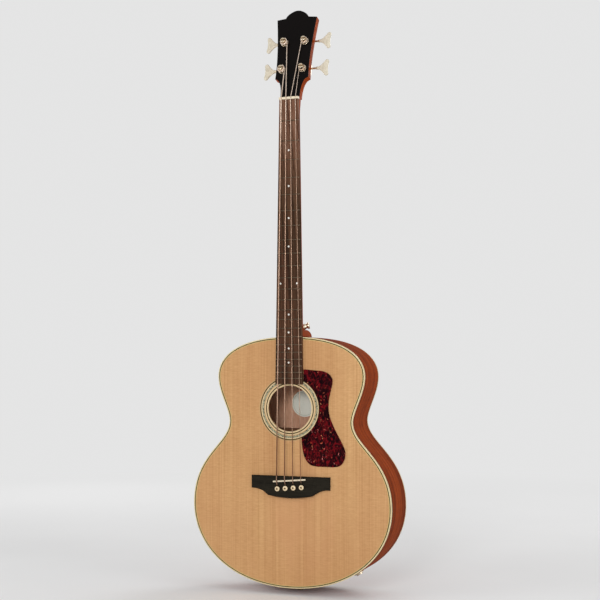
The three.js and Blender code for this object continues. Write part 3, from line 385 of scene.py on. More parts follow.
def loft(rings, caps=True, uv=None):
    """Quads between closed rings of points, each ring with as many points."""
    work = bmesh.new()
    rows = [[work.verts.new(point) for point in ring] for ring in rings]
    count = len(rows[0])
    layer = work.loops.layers.uv.new("UVMap") if uv else None
    for row in range(len(rows) - 1):
        for side in range(count):
            ends = ((row, side), (row, side + 1), (row + 1, side + 1), (row + 1, side))
            face = work.faces.new([rows[along][turn % count] for along, turn in ends])
            if uv:
                for corner, end in zip(face.loops, ends):
                    corner[layer].uv = uv(*end)
    if caps:
        work.faces.new(rows[0])
        work.faces.new(rows[-1])
    return work


def lathe(profile, sides=48):
    """A turned shape round Y, from a profile of (radius, y), closed on the axis where the radius is zero."""
    rings = [[(x, y, z) for x, z in circle((0, 0), radius, sides)] for radius, y in profile]
    return welded(loft(rings, caps=False), 1e-5)


def tube(points, radius, sides=16):
    """A round tube along a route, with a map of its length and its turn."""
    route, lengths, rings = [Vector(point) for point in points], [0.0], []
    across = Vector((0.3, 0.2, 1)).cross(route[1] - route[0]).normalized()
    for index, here in enumerate(route):
        ahead = route[min(index + 1, len(route) - 1)] - here
        behind = here - route[max(index - 1, 0)]
        if index:
            lengths.append(lengths[-1] + behind.length)
        along = (ahead.normalized() + behind.normalized()).normalized()
        across = (across - along * across.dot(along)).normalized()
        beside = along.cross(across)
        rings.append([here + across * x + beside * z for x, z in circle((0, 0), radius, sides)])
    return loft(rings, uv=lambda row, side: (lengths[row] * MM, side / sides))


# Materials


def linear(value):
    """The linear share of an 8-bit sRGB value."""
    value /= 255
    return value / 12.92 if value <= 0.04045 else ((value + 0.055) / 1.055) ** 2.4


def rgba(colour):
    """Linear colour from three 8-bit sRGB values, or grey from one share; a socket stays as it is."""
    if isinstance(colour, bpy.types.NodeSocket):
        return colour
    return (*map(linear, colour), 1.0) if isinstance(colour, tuple) else (colour, colour, colour, 1.0)


class NodeTree:
    """Short ways to add nodes and links."""

    def __init__(self, tree):
        self.tree = tree

    def feed(self, socket, value):
        if isinstance(value, bpy.types.NodeSocket):
            self.tree.links.new(value, socket)
        else:
            socket.default_value = value

    def node(self, kind, inputs=None, **settings):
        made = self.tree.nodes.new(kind)
        for key, value in settings.items():
            setattr(made, key, value)
        for key, value in (inputs or {}).items():
            self.feed(made.inputs[key], value)
        return made

    def maths(self, operation, a, b=0.0):
        return self.node("ShaderNodeMath", {0: a, 1: b}, operation=operation).outputs[0]

    def minus(self, a, b):
        return self.maths("SUBTRACT", a, b)

    def times(self, a, b):
        return self.maths("MULTIPLY", a, b)

    def total(self, *parts):
        """The sum of values, each times its weight."""
        made = 0.0
        for value, weight in parts:
            inputs = {0: value, 1: weight, 2: made}
            made = self.node("ShaderNodeMath", inputs, operation="MULTIPLY_ADD").outputs[0]
        return made

    def length(self, a, b):
        return self.maths("SQRT", self.total((a, a), (b, b)))

    def between(self, value, low, high):
        """A share from 0 to 1 as a value from low to high."""
        return self.node("ShaderNodeMapRange", {"Value": value, "To Min": low, "To Max": high}).outputs[0]

    def share(self, value, low, high, easing="LINEAR"):
        """A value from low to high as a share from 0 to 1."""
        inputs = {"Value": value, "From Min": low, "From Max": high}
        return self.node("ShaderNodeMapRange", inputs, interpolation_type=easing).outputs[0]


class Paint(NodeTree):
    """A Principled material whose colour, roughness and bump come from its nodes."""

    def __init__(self, name, metallic=0.0, coat=0.0, specular=0.5):
        self.material = bpy.data.materials.new(name)
        self.material.use_nodes = True
        super().__init__(self.material.node_tree)
        self.shader = self.tree.nodes["Principled BSDF"]
        self.shader.inputs["Metallic"].default_value = metallic
        self.shader.inputs["Coat Weight"].default_value = coat
        self.shader.inputs["Coat Roughness"].default_value = 0.08
        self.shader.inputs["Specular IOR Level"].default_value = specular
        coordinates = self.node("ShaderNodeTexCoord")
        self.place = coordinates.outputs["Object"]
        self.uv = coordinates.outputs["UV"]

    def axes(self, place=None):
        return self.node("ShaderNodeSeparateXYZ", {0: place or self.place}).outputs

    def vector(self, x, y, z):
        return self.node("ShaderNodeCombineXYZ", {0: x, 1: y, 2: z}).outputs[0]

    def noise(self, scale, detail, roughness=0.5, distortion=0.0, place=None):
        """Cloudy noise; its scale is one number or one for each axis."""
        scale = scale if isinstance(scale, tuple) else (scale, scale, scale)
        stretched = self.node("ShaderNodeMapping", {"Vector": place or self.place, "Scale": scale}).outputs[0]
        inputs = {"Vector": stretched, "Scale": 1.0, "Detail": detail, "Roughness": roughness}
        inputs["Distortion"] = distortion
        return self.node("ShaderNodeTexNoise", inputs).outputs["Fac"]

    def ramp(self, value, stops, interpolation="LINEAR"):
        made = self.node("ShaderNodeValToRGB", {"Fac": value})
        ramp = made.color_ramp
        ramp.interpolation = interpolation
        while len(ramp.elements) < len(stops):
            ramp.elements.new(0.5)
        for element, (position, colour) in zip(ramp.elements, stops):
            element.position = position
            element.color = rgba(colour)
        return made.outputs["Color"]

    def blend(self, share, a, b, weight=None):
        """Colour b over colour a, by a share that the weight may lower."""
        share = self.times(share, weight) if weight else share
        return self.node("ShaderNodeMix", {0: share, 6: rgba(a), 7: rgba(b)}, data_type="RGBA").outputs[2]

    def finish(self, colour, wear, rough, height=None, strength=0.0, distance=0.0):
        """The material, with a roughness that follows the wear and with the height as its bump."""
        self.feed(self.shader.inputs["Base Color"], colour)
        self.feed(self.shader.inputs["Roughness"], self.between(wear, *rough))
        if height:
            made = self.node("ShaderNodeBump", {"Height": height, "Strength": strength, "Distance": distance})
            self.feed(self.shader.inputs["Normal"], made.outputs["Normal"])
        return self.material

    def pored(self, plain, pore, streak, fleck, rough):
        """The material of an open-pored wood."""
        hole = self.ramp(fleck, [(0.36, 1.0), (0.44, 0.0)])
        plain = self.blend(hole, plain, pore, 0.5)
        return self.finish(plain, streak, rough, self.minus(streak, hole), 0.15, 0.00008)


def spruce(name, light, dark, flush):
    """Straight vertical grain, book-matched about the centre joint, with silk marks and a redder patch."""
    lines_per_metre, joint_half = 620.0, 0.00012
    (patch_x, patch_half), (patch_z, patch_reach) = (0.02, 0.075), (0.15, 0.13)
    paint = Paint(name, specular=0.1)
    x, y, z = paint.axes()
    away = paint.maths("ABSOLUTE", x)
    bent = paint.maths("ADD", away, paint.times(paint.noise((6, 6, 1.6), 2), 0.012))
    across = paint.vector(bent, 0.0, z)
    turn = paint.maths("FRACT", paint.times(bent, lines_per_metre))
    ring = paint.ramp(turn, [(0.0, 0.15), (0.55, 0.3), (0.88, 1.0), (1.0, 0.15)])
    streak = paint.noise((300, 1, 2.0), 4, 0.6, place=across)
    broad = paint.noise((34, 1, 0.9), 2, place=across)
    fibre = paint.noise((2600, 2600, 40), 2)
    silk = paint.noise((80, 80, 400), 4, 0.7, 0.5)
    cloud = paint.noise((11, 11, 7), 2)
    tone = paint.total((ring, 0.14), (streak, 0.55), (broad, 0.34), (silk, 0.5), (cloud, 0.3))
    plain = paint.blend(paint.share(tone, 0.56, 1.2), light, dark)
    aside = paint.times(paint.minus(x, patch_x), 1 / patch_half)
    below = paint.times(paint.minus(z, patch_z), 1 / patch_reach)
    near = paint.share(paint.total((aside, aside), (below, below)), 1.5, 0.0, "SMOOTHSTEP")
    patch = paint.ramp(paint.noise((9, 9, 2.2), 3, 0.6, place=across), [(0.4, 0.3), (0.62, 0.9)])
    plain = paint.blend(patch, plain, flush, paint.between(near, 0.25, 0.9))
    plain = paint.blend(paint.maths("LESS_THAN", away, joint_half), plain, dark, 0.5)
    return paint.finish(plain, silk, (0.34, 0.5), paint.total((ring, 0.5), (fibre, 1.0)), 0.12, 0.00008)


def wood(name, light, dark, pore, along="z", rough=(0.32, 0.5), coat=0.05):
    """Open-pored wood whose grain runs along Z, X or the U of the piece's map."""
    paint = Paint(name, coat=coat, specular=0.0)
    place = paint.place
    if along == "u":
        u, v, w = paint.axes(paint.uv)
        place = paint.vector(v, w, u)
    elif along == "x":
        x, y, z = paint.axes()
        place = paint.vector(z, y, x)
    bands = paint.noise((48, 48, 1.7), 4, 0.6, 0.7, place)
    streak = paint.noise((420, 420, 4.5), 4, 0.65, place=place)
    fleck = paint.noise((1500, 1500, 55), 2, place=place)
    ribbon = paint.noise((14, 14, 30), 2, place=place)
    tone = paint.minus(paint.total((bands, 1.7), (streak, 1.4), (ribbon, 0.25)), 1.17)
    return paint.pored(paint.blend(tone, light, dark), pore, streak, fleck, rough)


def rosewood_paint(name):
    """Dark brown boards with long streaks, and a paler, pinker painted sheen towards the nut."""
    paint = Paint(name, specular=0.0, coat=0.04)
    lean, turned = (
        paint.node("ShaderNodeMapping", {"Vector": paint.place, "Rotation": (0.0, angle, 0.0)}).outputs[0]
        for angle in (0.05, 0.11)
    )
    wide = paint.noise((95, 30, 1.6), 3, 0.55, 0.8, lean)
    streak = paint.noise((330, 90, 3.2), 4, 0.6, 0.5, lean)
    sheen_streak = paint.noise((260, 90, 5.0), 4, 0.6, 0.9, turned)
    fleck = paint.noise((1500, 1500, 60), 2)
    browns = [(0.3, (44, 34, 26)), (0.44, (82, 60, 44)), (0.56, (90, 60, 45)), (0.7, (56, 44, 35))]
    lined = paint.blend(paint.ramp(streak, [(0.42, 0.0), (0.6, 0.7)]), paint.ramp(wide, browns), (36, 26, 20))
    # Painted sheen: these paler, pinker streaks are blended in towards the nut for light reflected from the
    # board there.
    pale = paint.ramp(sheen_streak, [(0.32, (156, 118, 96)), (0.5, (118, 82, 64)), (0.62, (62, 40, 31))])
    near = paint.share(paint.axes()[2], 0.78, 1.0, "SMOOTHSTEP")
    return paint.pored(paint.blend(near, lined, pale, 0.75), (24, 17, 13), streak, fleck, (0.42, 0.6))


def plastic(name, colour, shade, rough=0.3, grain=90.0, specular=0.25):
    """Gloss or satin plastic, bone or pearl with a faint cloud in it."""
    paint = Paint(name, specular=specular)
    cloud = paint.noise((grain, grain, grain * 0.4), 4, 0.55, 0.6)
    wear = paint.noise(900, 2)
    colour = paint.blend(cloud, shade, colour)
    return paint.finish(colour, wear, (rough * 0.8, rough * 1.3), wear, 0.06, 0.00005)


def metal(name, colour, shade, rough=0.22):
    """Metal with faint wear and fine marks."""
    paint = Paint(name, metallic=1.0)
    worn = paint.noise(220, 4, 0.6)
    colour = paint.blend(worn, shade, colour)
    return paint.finish(colour, worn, (rough * 0.7, rough * 1.5), paint.noise(3000, 2), 0.05, 0.00003)


def wound(name, by_bridge, by_board, by_head):
    """A wound string: wraps along the U of the tube's map, with painted shade in the grooves between the
    wraps, and a bright and a dull colour in three zones of painted reflection.
    """
    paint = Paint(name, metallic=1.0)
    u, v, w = paint.axes(paint.uv)
    z = paint.axes()[2]
    turn = paint.maths("PINGPONG", paint.maths("ADD", paint.times(u, 1 / WRAP_PITCH), v), 0.5)
    valley = paint.ramp(turn, [(0.0, 0.0), (0.2, 0.8), (0.5, 1.0)])
    worn = paint.noise(60, 3)
    edge = BRIDGE_EDGE_Z * MM
    # Painted reflection: the string is darker over the top from the bridge's edge to the soundhole, paler
    # over the board and behind the bridge's edge, and brightest towards the head.
    painted_reflection_zone = paint.ramp(z, [(edge - 0.002, 0.75), (edge + 0.004, 0.0), (0.32, 0.0), (0.36, 1.0)])
    high = paint.share(z, 0.9, 1.06)
    bright, dull = (
        paint.blend(high, paint.blend(painted_reflection_zone, low, middle), top)
        for low, middle, top in zip(by_bridge, by_board, by_head)
    )
    # Painted shade: the grooves between the wraps take the dull colour.
    colour = paint.blend(valley, dull, paint.blend(worn, dull, bright))
    return paint.finish(colour, worn, (0.28, 0.46), valley, 0.5, 0.00012)


def tortoiseshell(name):
    """Deep red celluloid with dark clouds and red, orange and pale flecks."""
    paint = Paint(name, coat=0.06, specular=0.0)
    cloud = paint.noise((80, 80, 55), 4, 0.6, 1.0)
    flecks = paint.noise((135, 135, 90), 3, 0.6, 1.4)
    sparks = paint.noise((190, 190, 140), 2, 0.5, 0.8)
    tint = paint.noise(110, 1)
    pale = paint.ramp(tint, [(0.42, (212, 124, 120)), (0.5, (196, 72, 44)), (0.6, (214, 142, 100))])
    body = paint.ramp(cloud, [(0.36, (20, 3, 7)), (0.5, (46, 7, 12)), (0.64, (70, 12, 14))])
    for marks, stops, colour, weight in (
        (flecks, [(0.52, 0.0), (0.62, 1.0)], (118, 14, 22), 0.7),
        (flecks, [(0.42, 1.0), (0.49, 0.0)], (16, 3, 6), 0.85),
        (sparks, [(0.655, 0.0), (0.725, 1.0)], pale, 0.8),
    ):
        body = paint.blend(paint.ramp(marks, stops), body, colour, weight)
    return paint.finish(body, cloud, (0.16, 0.26), cloud, 0.04, 0.0001)


def rosette_paint(name):
    """Pale and dark rings round a mosaic of small blocks."""
    blocks_around, blocks_per_metre = 150, 800.0
    mosaic_start, mosaic_end = 9.2, 13.5
    cream, olive, beige = (208, 184, 144), (76, 62, 36), (184, 150, 108)
    bands = (0.0, 2.9, 5.2, 7.4, mosaic_end, 15.6, 17.9), (cream, olive, cream, beige, cream, olive, beige)
    tones = [(0.0, (164, 160, 134)), (0.36, (112, 110, 88)), (0.6, (146, 142, 116)), (0.84, (66, 62, 46))]
    paint = Paint(name, specular=0.0, coat=0.05)
    x, y, z = paint.axes()
    up = paint.minus(z, SOUNDHOLE_Z * MM)
    radius = paint.length(x, up)
    share = paint.share(radius, SOUNDHOLE_RADIUS * MM, ROSETTE_RADIUS * MM)
    span = ROSETTE_RADIUS - SOUNDHOLE_RADIUS
    rings = paint.ramp(share, [(start / span, colour) for start, colour in zip(*bands)], "CONSTANT")
    around = paint.times(paint.maths("ARCTAN2", up, x), blocks_around / (2 * pi))
    place = paint.vector(around, paint.times(radius, blocks_per_metre), 0.0)
    blocks = paint.node("ShaderNodeTexVoronoi", {"Vector": place, "Scale": 1.0, "Randomness": 0.35})
    tiles = paint.ramp(paint.axes(blocks.outputs["Color"])[0], tones, "CONSTANT")
    past_start = paint.maths("GREATER_THAN", share, mosaic_start / span)
    before_end = paint.maths("LESS_THAN", share, mosaic_end / span)
    cloud = paint.noise(400, 2)
    colour = paint.blend(paint.times(past_start, before_end), rings, tiles)
    return paint.finish(colour, cloud, (0.28, 0.42), cloud, 0.05, 0.00005)


def label_paint(name):
    """Plain paper with one thin printed ring."""
    paint = Paint(name, specular=0.2)
    x, y, z = paint.axes()
    radius = paint.length(paint.minus(x, LABEL_X * MM), paint.minus(z, LABEL_Z * MM))
    share = paint.share(radius, 0.0, LABEL_RADIUS * MM)
    paper, ink = (250, 250, 236), (190, 202, 180)
    rings = paint.ramp(share, [(0.0, paper), (0.87, ink), (0.895, paper)], "CONSTANT")
    fibres = paint.noise(700, 5, 0.7)
    colour = paint.blend(fibres, rings, (222, 222, 202), 0.12)
    return paint.finish(colour, fibres, (0.75, 0.9), fibres, 0.15, 0.00005)


def black_lacquer(name):
    """Gloss black over a faint vertical grain."""
    paint = Paint(name, coat=0.1, specular=0.0)
    grain = paint.noise((900, 900, 12), 3)
    colour = paint.blend(grain, (10, 8, 8), (19, 15, 14))
    return paint.finish(colour, paint.noise(45, 3), (0.16, 0.3), grain, 0.03, 0.00005)


spruce_top = spruce("spruce_top", (214, 172, 121), (160, 113, 69), (190, 138, 98))
inner_spruce = spruce("inner_spruce", (214, 186, 140), (184, 148, 102), (206, 164, 120))
# Painted shade: the back braces are a darker spruce, standing in for the shadow on them inside the body.
back_spruce_painted_shade = spruce("back_spruce_painted_shade", (136, 96, 70), (104, 70, 50), (122, 84, 62))
side_wood = wood("side_mahogany", (176, 78, 33), (82, 28, 10), (48, 15, 6), along="u")
back_wood = wood("back_mahogany", (172, 76, 33), (112, 43, 18), (62, 21, 9))
neck_wood = wood("neck_mahogany", (184, 84, 38), (120, 48, 20), (66, 24, 10))
# Painted light: the bare inside mahogany is made far paler, standing in for light falling in through the
# soundhole.
inner_wood_painted_light = wood("inner_mahogany_painted_light", (238, 190, 160), (204, 150, 120), (162, 112, 86), "z", (0.6, 0.8), 0.0)
rosewood = rosewood_paint("rosewood")
black_wood = wood("black_wood", (44, 40, 33), (24, 22, 18), (10, 9, 8), along="x", rough=(0.4, 0.55))
ivory = plastic("ivory_binding", (222, 208, 168), (202, 184, 140), specular=0.08)
dark_line = plastic("purfling_dark", (70, 60, 34), (46, 38, 22), specular=0.0)
pale_line = plastic("purfling_pale", (208, 186, 128), (186, 160, 104), specular=0.0)
bone = plastic("bone", (228, 214, 190), (206, 190, 162), rough=0.35)
pin_plastic = plastic("pin_plastic", (226, 206, 172), (208, 186, 148), rough=0.25)
pin_dot = plastic("pin_dot", (110, 84, 50), (78, 58, 34), rough=0.25)
pearl = plastic("pearl", (240, 236, 226), (206, 202, 194), rough=0.2, grain=420.0)
key_pearl = plastic("key_pearl", (238, 230, 212), (178, 168, 144), rough=0.22, grain=240.0)
nickel = metal("nickel", (226, 212, 188), (196, 178, 150))
steel = metal("steel", (176, 176, 178), (140, 140, 144), rough=0.35)
# Painted shade: the fret wire is a darker copy of the nickel, to dim its reflections.
fret_wire = metal("fret_wire", (118, 102, 84), (88, 74, 60), rough=0.3)
# The three zones of the wound strings are painted reflection: dark by the bridge, paler over the board,
# brightest on the head.
bronze = wound("bronze_wrap", ((144, 104, 78), (84, 54, 38)), ((204, 172, 148), (132, 102, 84)),
               ((250, 236, 222), (196, 172, 152)))
shell = tortoiseshell("tortoiseshell")
ring_inlay = rosette_paint("rosette_inlay")
paper_label = label_paint("label_paper")
gloss_black = black_lacquer("black_lacquer")


# The body

# The treble half of the body's outline, each curve from one end over two handles to the other
WIDEST, NARROWEST, SHOULDER = (HALF_LOWER, LOW_Z), (HALF_WAIST, WAIST_Z), (HALF_UPPER, HIGH_Z)
HALF_CURVES = (
    ((0, 0), (HALF_LOWER * 0.598, 0), (HALF_LOWER, LOW_Z * 0.43), WIDEST),
    (WIDEST, (HALF_LOWER, LOW_Z * 1.6), (HALF_WAIST, WAIST_Z * 0.8605), NARROWEST),
    (NARROWEST, (HALF_WAIST, WAIST_Z * 1.0668), (HALF_UPPER, HIGH_Z * 0.9222), SHOULDER),
    (SHOULDER, (HALF_UPPER, HIGH_Z * 1.103), (HALF_UPPER * 0.6957, BODY_LENGTH), (0, BODY_LENGTH)),
)

# The pickguard's free edge, as shares of the body's half width and of the way from soundhole to heel
GUARD_EDGE = (
    (0.16, 0.545), (0.25, 0.533), (0.338, 0.52), (0.4, 0.472), (0.428, 0.39), (0.412, 0.26), (0.39, 0.1),
    (0.395, -0.07), (0.435, -0.23), (0.5, -0.41), (0.547, -0.55), (0.553, -0.65), (0.525, -0.745),
    (0.47, -0.793), (0.36, -0.797), (0.255, -0.793), (0.195, -0.76), (0.15, -0.67), (0.128, -0.53),
    (0.121, -0.4),
)


def half_outline(inset=0.0):
    """The treble half of the body's outline, from the tail to the heel, moved inwards."""
    made = []
    for points, steps in zip(HALF_CURVES, OUTLINE_STEPS):
        for step in range(1 if made else 0, steps + 1):
            place, slope = bezier(points, step / steps)
            made.append((place.x - slope.y * inset, TAIL_Z + place.y + slope.x * inset))
    return made


def back_y(x, z):
    taper = (TAIL_DEPTH - HEEL_END_DEPTH) * (z - TAIL_Z) / BODY_LENGTH
    return FRONT_Y + TAIL_DEPTH - taper - BACK_ARCH * (x / HALF_LOWER) ** 2


def behind_front(reach):
    return lambda x, z: FRONT_Y + reach


def before_back(reach):
    return lambda x, z: back_y(x, z) - reach


def edging(profile):
    """A closed profile of (inset, y as a function of x and z) carried round the body's outline."""
    rows = []
    for corners in zip(*(mirrored(half_outline(inset)) for inset, depth in profile)):
        rows.append([(x, depth(x, z), z) for (x, z), (inset, depth) in zip(corners, profile)])
    return welded(loft(rows + rows[:1], caps=False))


def binding(depth, height, rounding):
    """A strip whose depth from the top or the back is a function, with its outer edge rounded."""
    edge = [(inset, depth(drop)) for inset, drop in quarter(rounding, 5)]
    return edging([(BINDING, depth(0))] + edge + [(0, depth(height)), (BINDING, depth(height))])


def purfling(outer, inner):
    high, low = behind_front(0), behind_front(TOP_THICKNESS)
    return edging([(outer, high), (outer, low), (inner, low), (inner, high)])


def side_wall(side):
    """One bent side, with a map whose U runs along the bend."""
    low, high = behind_front(FRONT_BINDING_HEIGHT), before_back(BACK_BINDING_HEIGHT)
    outer, inner = half_outline(), half_outline(SIDE_THICKNESS)
    rows, lengths, length = [], [], 0.0
    for before, outside, inside in zip(outer[:1] + outer, outer, inner):
        length += dist(before, outside)
        lengths.append(length)
        corners = ((outside, low), (outside, high), (inside, high), (inside, low))
        rows.append([(side * max(x, 0.01), depth(x, z), z) for (x, z), depth in corners])
    return loft(rows, uv=lambda along, corner: (lengths[along] * MM, rows[along][corner % 4][1] * MM))


def back_plate(steps=28):
    """The arched back, as rows across the outline."""
    rows = []
    for x, z in half_outline(BINDING):
        across = [max(x, 0.02) * (2 * step / steps - 1) for step in range(steps + 1)]
        outside = [(place, back_y(place, z), z) for place in across]
        inside = [(place, back_y(place, z) - BACK_THICKNESS, z) for place in across[::-1]]
        rows.append(outside + inside)
    return loft(rows)


def line_inside(made, test):
    """Bare wood, painted far paler as painted light for light falling in through the soundhole, on the faces
    that pass the test.
    """
    made.data.materials.append(inner_wood_painted_light)
    for face in made.data.polygons:
        if test(face):
            face.material_index = 1


def smooth(points):
    """A smooth curve through points, without the first."""
    route = [Vector(point) for point in points[:1] + points + points[-1:]]
    made = []
    for before, here, after, beyond in zip(route, route[1:], route[2:], route[3:]):
        made += curve(here, here + (after - before) / 6, after - (beyond - here) / 6, after, steps=8)
    return made


def pickguard():
    """Straight beside the fingerboard, round beside the soundhole and free elsewhere."""
    side_x = BOARD_END_WIDTH / 2 + GUARD_FROM_BOARD
    edge = [(x * HALF_LOWER, SOUNDHOLE_Z + z * (HEEL_END_Z - SOUNDHOLE_Z)) for x, z in GUARD_EDGE]
    start = atan2(edge[-1][1] - SOUNDHOLE_Z, edge[-1][0])
    end = acos(side_x / GUARD_INNER_RADIUS)
    outline = [(side_x, edge[0][1]), edge[0]] + smooth(edge)
    outline += arc((0, SOUNDHOLE_Z), GUARD_INNER_RADIUS, start, end, 48)
    return flat_mesh([outline], FRONT_Y - SEAT - GUARD_THICKNESS, FRONT_Y, bevel=0.35)


def label():
    """A disc that follows the back's arch."""
    half = LABEL_THICKNESS / 2
    paper = flat_mesh([circle((LABEL_X, LABEL_Z), LABEL_RADIUS, 72)], -half, half)
    for corner in paper.verts:
        corner.co.y += back_y(corner.co.x, corner.co.z) - BACK_THICKNESS - LABEL_THICKNESS
    return paper


def build_body():
    hole, ring = (circle((0, SOUNDHOLE_Z), radius) for radius in (SOUNDHOLE_RADIUS, ROSETTE_RADIUS))
    ring_under_y = FRONT_Y + ROSETTE_THICKNESS
    top = flat_mesh([mirrored(half_outline(PALE_LINE_END)), hole], FRONT_Y, TOP_UNDER_Y)
    top = cut(top, flat_mesh([ring], FRONT_Y - 1, ring_under_y))
    piece("soundboard_spruce", top, spruce_top, "soundboard")
    dark, pale = purfling(BINDING, DARK_LINE_END), purfling(DARK_LINE_END, PALE_LINE_END)
    piece("purfling_dark", dark, dark_line, "soundboard")
    piece("purfling_pale", pale, pale_line, "soundboard")
    front = binding(behind_front, FRONT_BINDING_HEIGHT, FRONT_ROUNDING)
    piece("front_binding", front, ivory, "binding_front")
    rear = binding(before_back, BACK_BINDING_HEIGHT, BACK_ROUNDING)
    piece("back_binding", rear, ivory, "binding_back", angle=50)
    for side, name in ((-1, "bass"), (1, "treble")):
        wall = piece(f"bent_side_{name}", side_wall(side), side_wood, f"side_{name}")
        # The third of the four faces of each section is inside, and the two end faces come last
        ends = len(wall.data.polygons) - 2
        line_inside(wall, lambda face: face.index % 4 == 2 or face.index >= ends)
    plate = piece("arched_back", back_plate(), back_wood, "back")
    line_inside(plate, lambda face: face.normal.y < -0.5)
    inlay = flat_mesh([ring, hole], FRONT_Y, ring_under_y)
    piece("rosette_ring", inlay, ring_inlay, "rosette")
    piece("paper_label", label(), paper_label, "soundhole_label")
    piece("guard_plate", pickguard(), shell, "pickguard", angle=50)


# The neck


def board_half(z):
    return (NUT_WIDTH + (BOARD_END_WIDTH - NUT_WIDTH) * (NUT_Z - z) / BOARD_LENGTH) / 2


def fret_z(number):
    return NUT_Z - SCALE_LENGTH * (1 - 2 ** (-number / 12))


def crown(x):
    """How far the fingerboard's face falls back at that distance from its middle."""
    return x * x / (2 * BOARD_CROWN_RADIUS)


def head_outline(margin=0.0):
    half, (shoulder, shoulder_z) = NUT_WIDTH / 2, HEAD_SHOULDER
    (top, top_z), (crown_half, rise) = HEAD_TOP, HEAD_CROWN
    right = [(half, margin)]
    right += curve(right[-1], (half, shoulder_z * 0.93), (shoulder, shoulder_z))
    right += curve(right[-1], (shoulder - (top - shoulder) * 0.45, top_z / 2), (top, top_z), steps=24)
    right.append((crown_half, top_z + rise * 0.125))
    right += curve(right[-1], (crown_half * 0.93, top_z + rise / 2), (crown_half / 2, top_z + rise * 0.8))
    right += curve(right[-1], (crown_half / 4, top_z + rise), (0, top_z + rise))
    return mirrored(right)


def post_places():
    for name in STRINGS:
        side = -1 if name in "ea" else 1
        yield name, side, side * POST_X, POST_UP[name]


def head_plate(margin, front, back, bevel):
    """A plate in the headstock's shape, with holes for the posts."""
    holes = [circle((x, z), BUSHING_STEM_RADIUS + SEAT, 40) for name, side, x, z in post_places()]
    return moved(flat_mesh([head_outline(margin)] + holes, front, back, bevel), HEAD_FRAME)


def shaft():
    """The neck's back, round at first and squarer where it runs into the head."""
    foot, top = HEEL_END_Z + SEAT, HEAD_BASE_Z + 0.5
    heights = [foot + (SQUARING_Z - foot) * step / 12 for step in range(12)]
    heights += [SQUARING_Z + (top - SQUARING_Z) * step / 14 for step in range(15)]
    rings = []
    for z in heights:
        share = (z - HEEL_END_Z) / (NUT_Z - HEEL_END_Z)
        depth = NECK_DEPTH_HEEL + (NECK_DEPTH_NUT - NECK_DEPTH_HEEL) * share
        squareness = min(max((z - SQUARING_Z) / 38, 0), 1)
        power = 2 / (2 + 3 * squareness ** 2)
        ring = []
        for cosine, sine in arc((0, 0), 1, 0, pi, 48):
            across = copysign(abs(cosine) ** power, cosine)
            ring.append((across * board_half(z), FRONT_Y + depth * sine ** power, z))
        rings.append(ring)
    return loft(rings)


def heel():
    """Half ovals that shrink from the neck's root to the cap."""
    rings, root, foot = [], board_half(HEEL_END_Z), HEEL_END_Z + SEAT
    for row in range(25):
        share = row / 24
        half = root + (HEEL_CAP_WIDTH / 2 - root) * share
        height = HEEL_CAP_HEIGHT + (HEEL_ROOT_HEIGHT - HEEL_CAP_HEIGHT) * (1 - share) ** 3
        y = FRONT_Y + HEEL_REACH * share
        oval = arc((0, 0), 1, 0, pi, 40)
        rings.append([(half * across, y, foot + height * up) for across, up in oval])
    return loft(rings)


def fingerboard(steps=20):
    """Sections with a crowned face and rounded edges."""
    rings = []
    for z in (BOARD_END_Z, BOARD_END_Z + 0.5, NUT_Z - SEAT):
        half = board_half(z)
        edge_y = BOARD_Y + crown(half) + BOARD_ROUNDING
        face = [(half - BOARD_ROUNDING) * (1 - 2 * step / steps) for step in range(steps + 1)]
        ring = [(half, FRONT_Y, z), (half, edge_y, z)]
        ring += [(x, BOARD_Y + crown(x), z) for x in face]
        rings.append(ring + [(-half, edge_y, z), (-half, FRONT_Y, z)])
    return loft(rings)


def fret(number, steps=14, turns=8):
    """A wire whose crown follows the board's, with its ends filed back."""
    z, rings = fret_z(number), []
    half, half_width = board_half(z) - SEAT, FRET_WIDTH / 2
    for step in range(steps + 1):
        x = half * (1 - 2 * step / steps)
        at_end = step in (0, steps)
        height = FRET_HEIGHT - (0.45 if at_end else 0)
        face_y = BOARD_Y + crown(x)
        ring = [(x, face_y + FRET_DEPTH, z + half_width), (x, face_y + FRET_DEPTH, z - half_width)]
        for cosine, sine in arc((0, 0), 1, pi, 0, turns):
            drawn = x * (1 - 0.012 * sine) if at_end else x
            ring.append((drawn, face_y - height * sine ** 0.8, z + half_width * cosine))
        rings.append(ring)
    return welded(loft(rings))


def position_dots():
    """One dot for each marked fret and two for the octave."""
    dots = []
    for number in (3, 5, 7, 9, 12, 15, 17, 19, 21):
        z = (fret_z(number - 1) + fret_z(number)) / 2
        reach = board_half(z) * 0.67
        for x in (-reach, reach) if number == 12 else (0,):
            disc = lathe([(0, 0.6), (DOT_RADIUS, 0.6), (DOT_RADIUS, 0), (DOT_RADIUS / 2, 0), (0, 0)], 40)
            for corner in moved(disc, shift((x, BOARD_Y - 0.06, z))).verts:
                corner.co.y += crown(corner.co.x)
            dots.append(disc)
    return merge(*dots)


def string_radius(index):
    return GAUGES[index] / 2


def nut_string(index):
    y = BOARD_Y - FRET_HEIGHT - 0.5 - string_radius(index)
    return ((index - 1.5) * NUT_SPACING, y, NUT_Z + NUT_THICKNESS / 2)


def nut():
    half, high_y = NUT_WIDTH / 2, FRONT_Y - SEAT - NUT_HEIGHT
    block = rounded_box((-half, FRONT_Y, NUT_Z), (half, high_y, NUT_Z + NUT_THICKNESS), 0.7, 4)
    for index in range(len(STRINGS)):
        x, y, z = nut_string(index)
        room = string_radius(index) + 0.15
        block = cut(block, box_mesh((x - room, y + room - 0.1, z - 10), (x + room, y - 6, z + 10)))
    return block


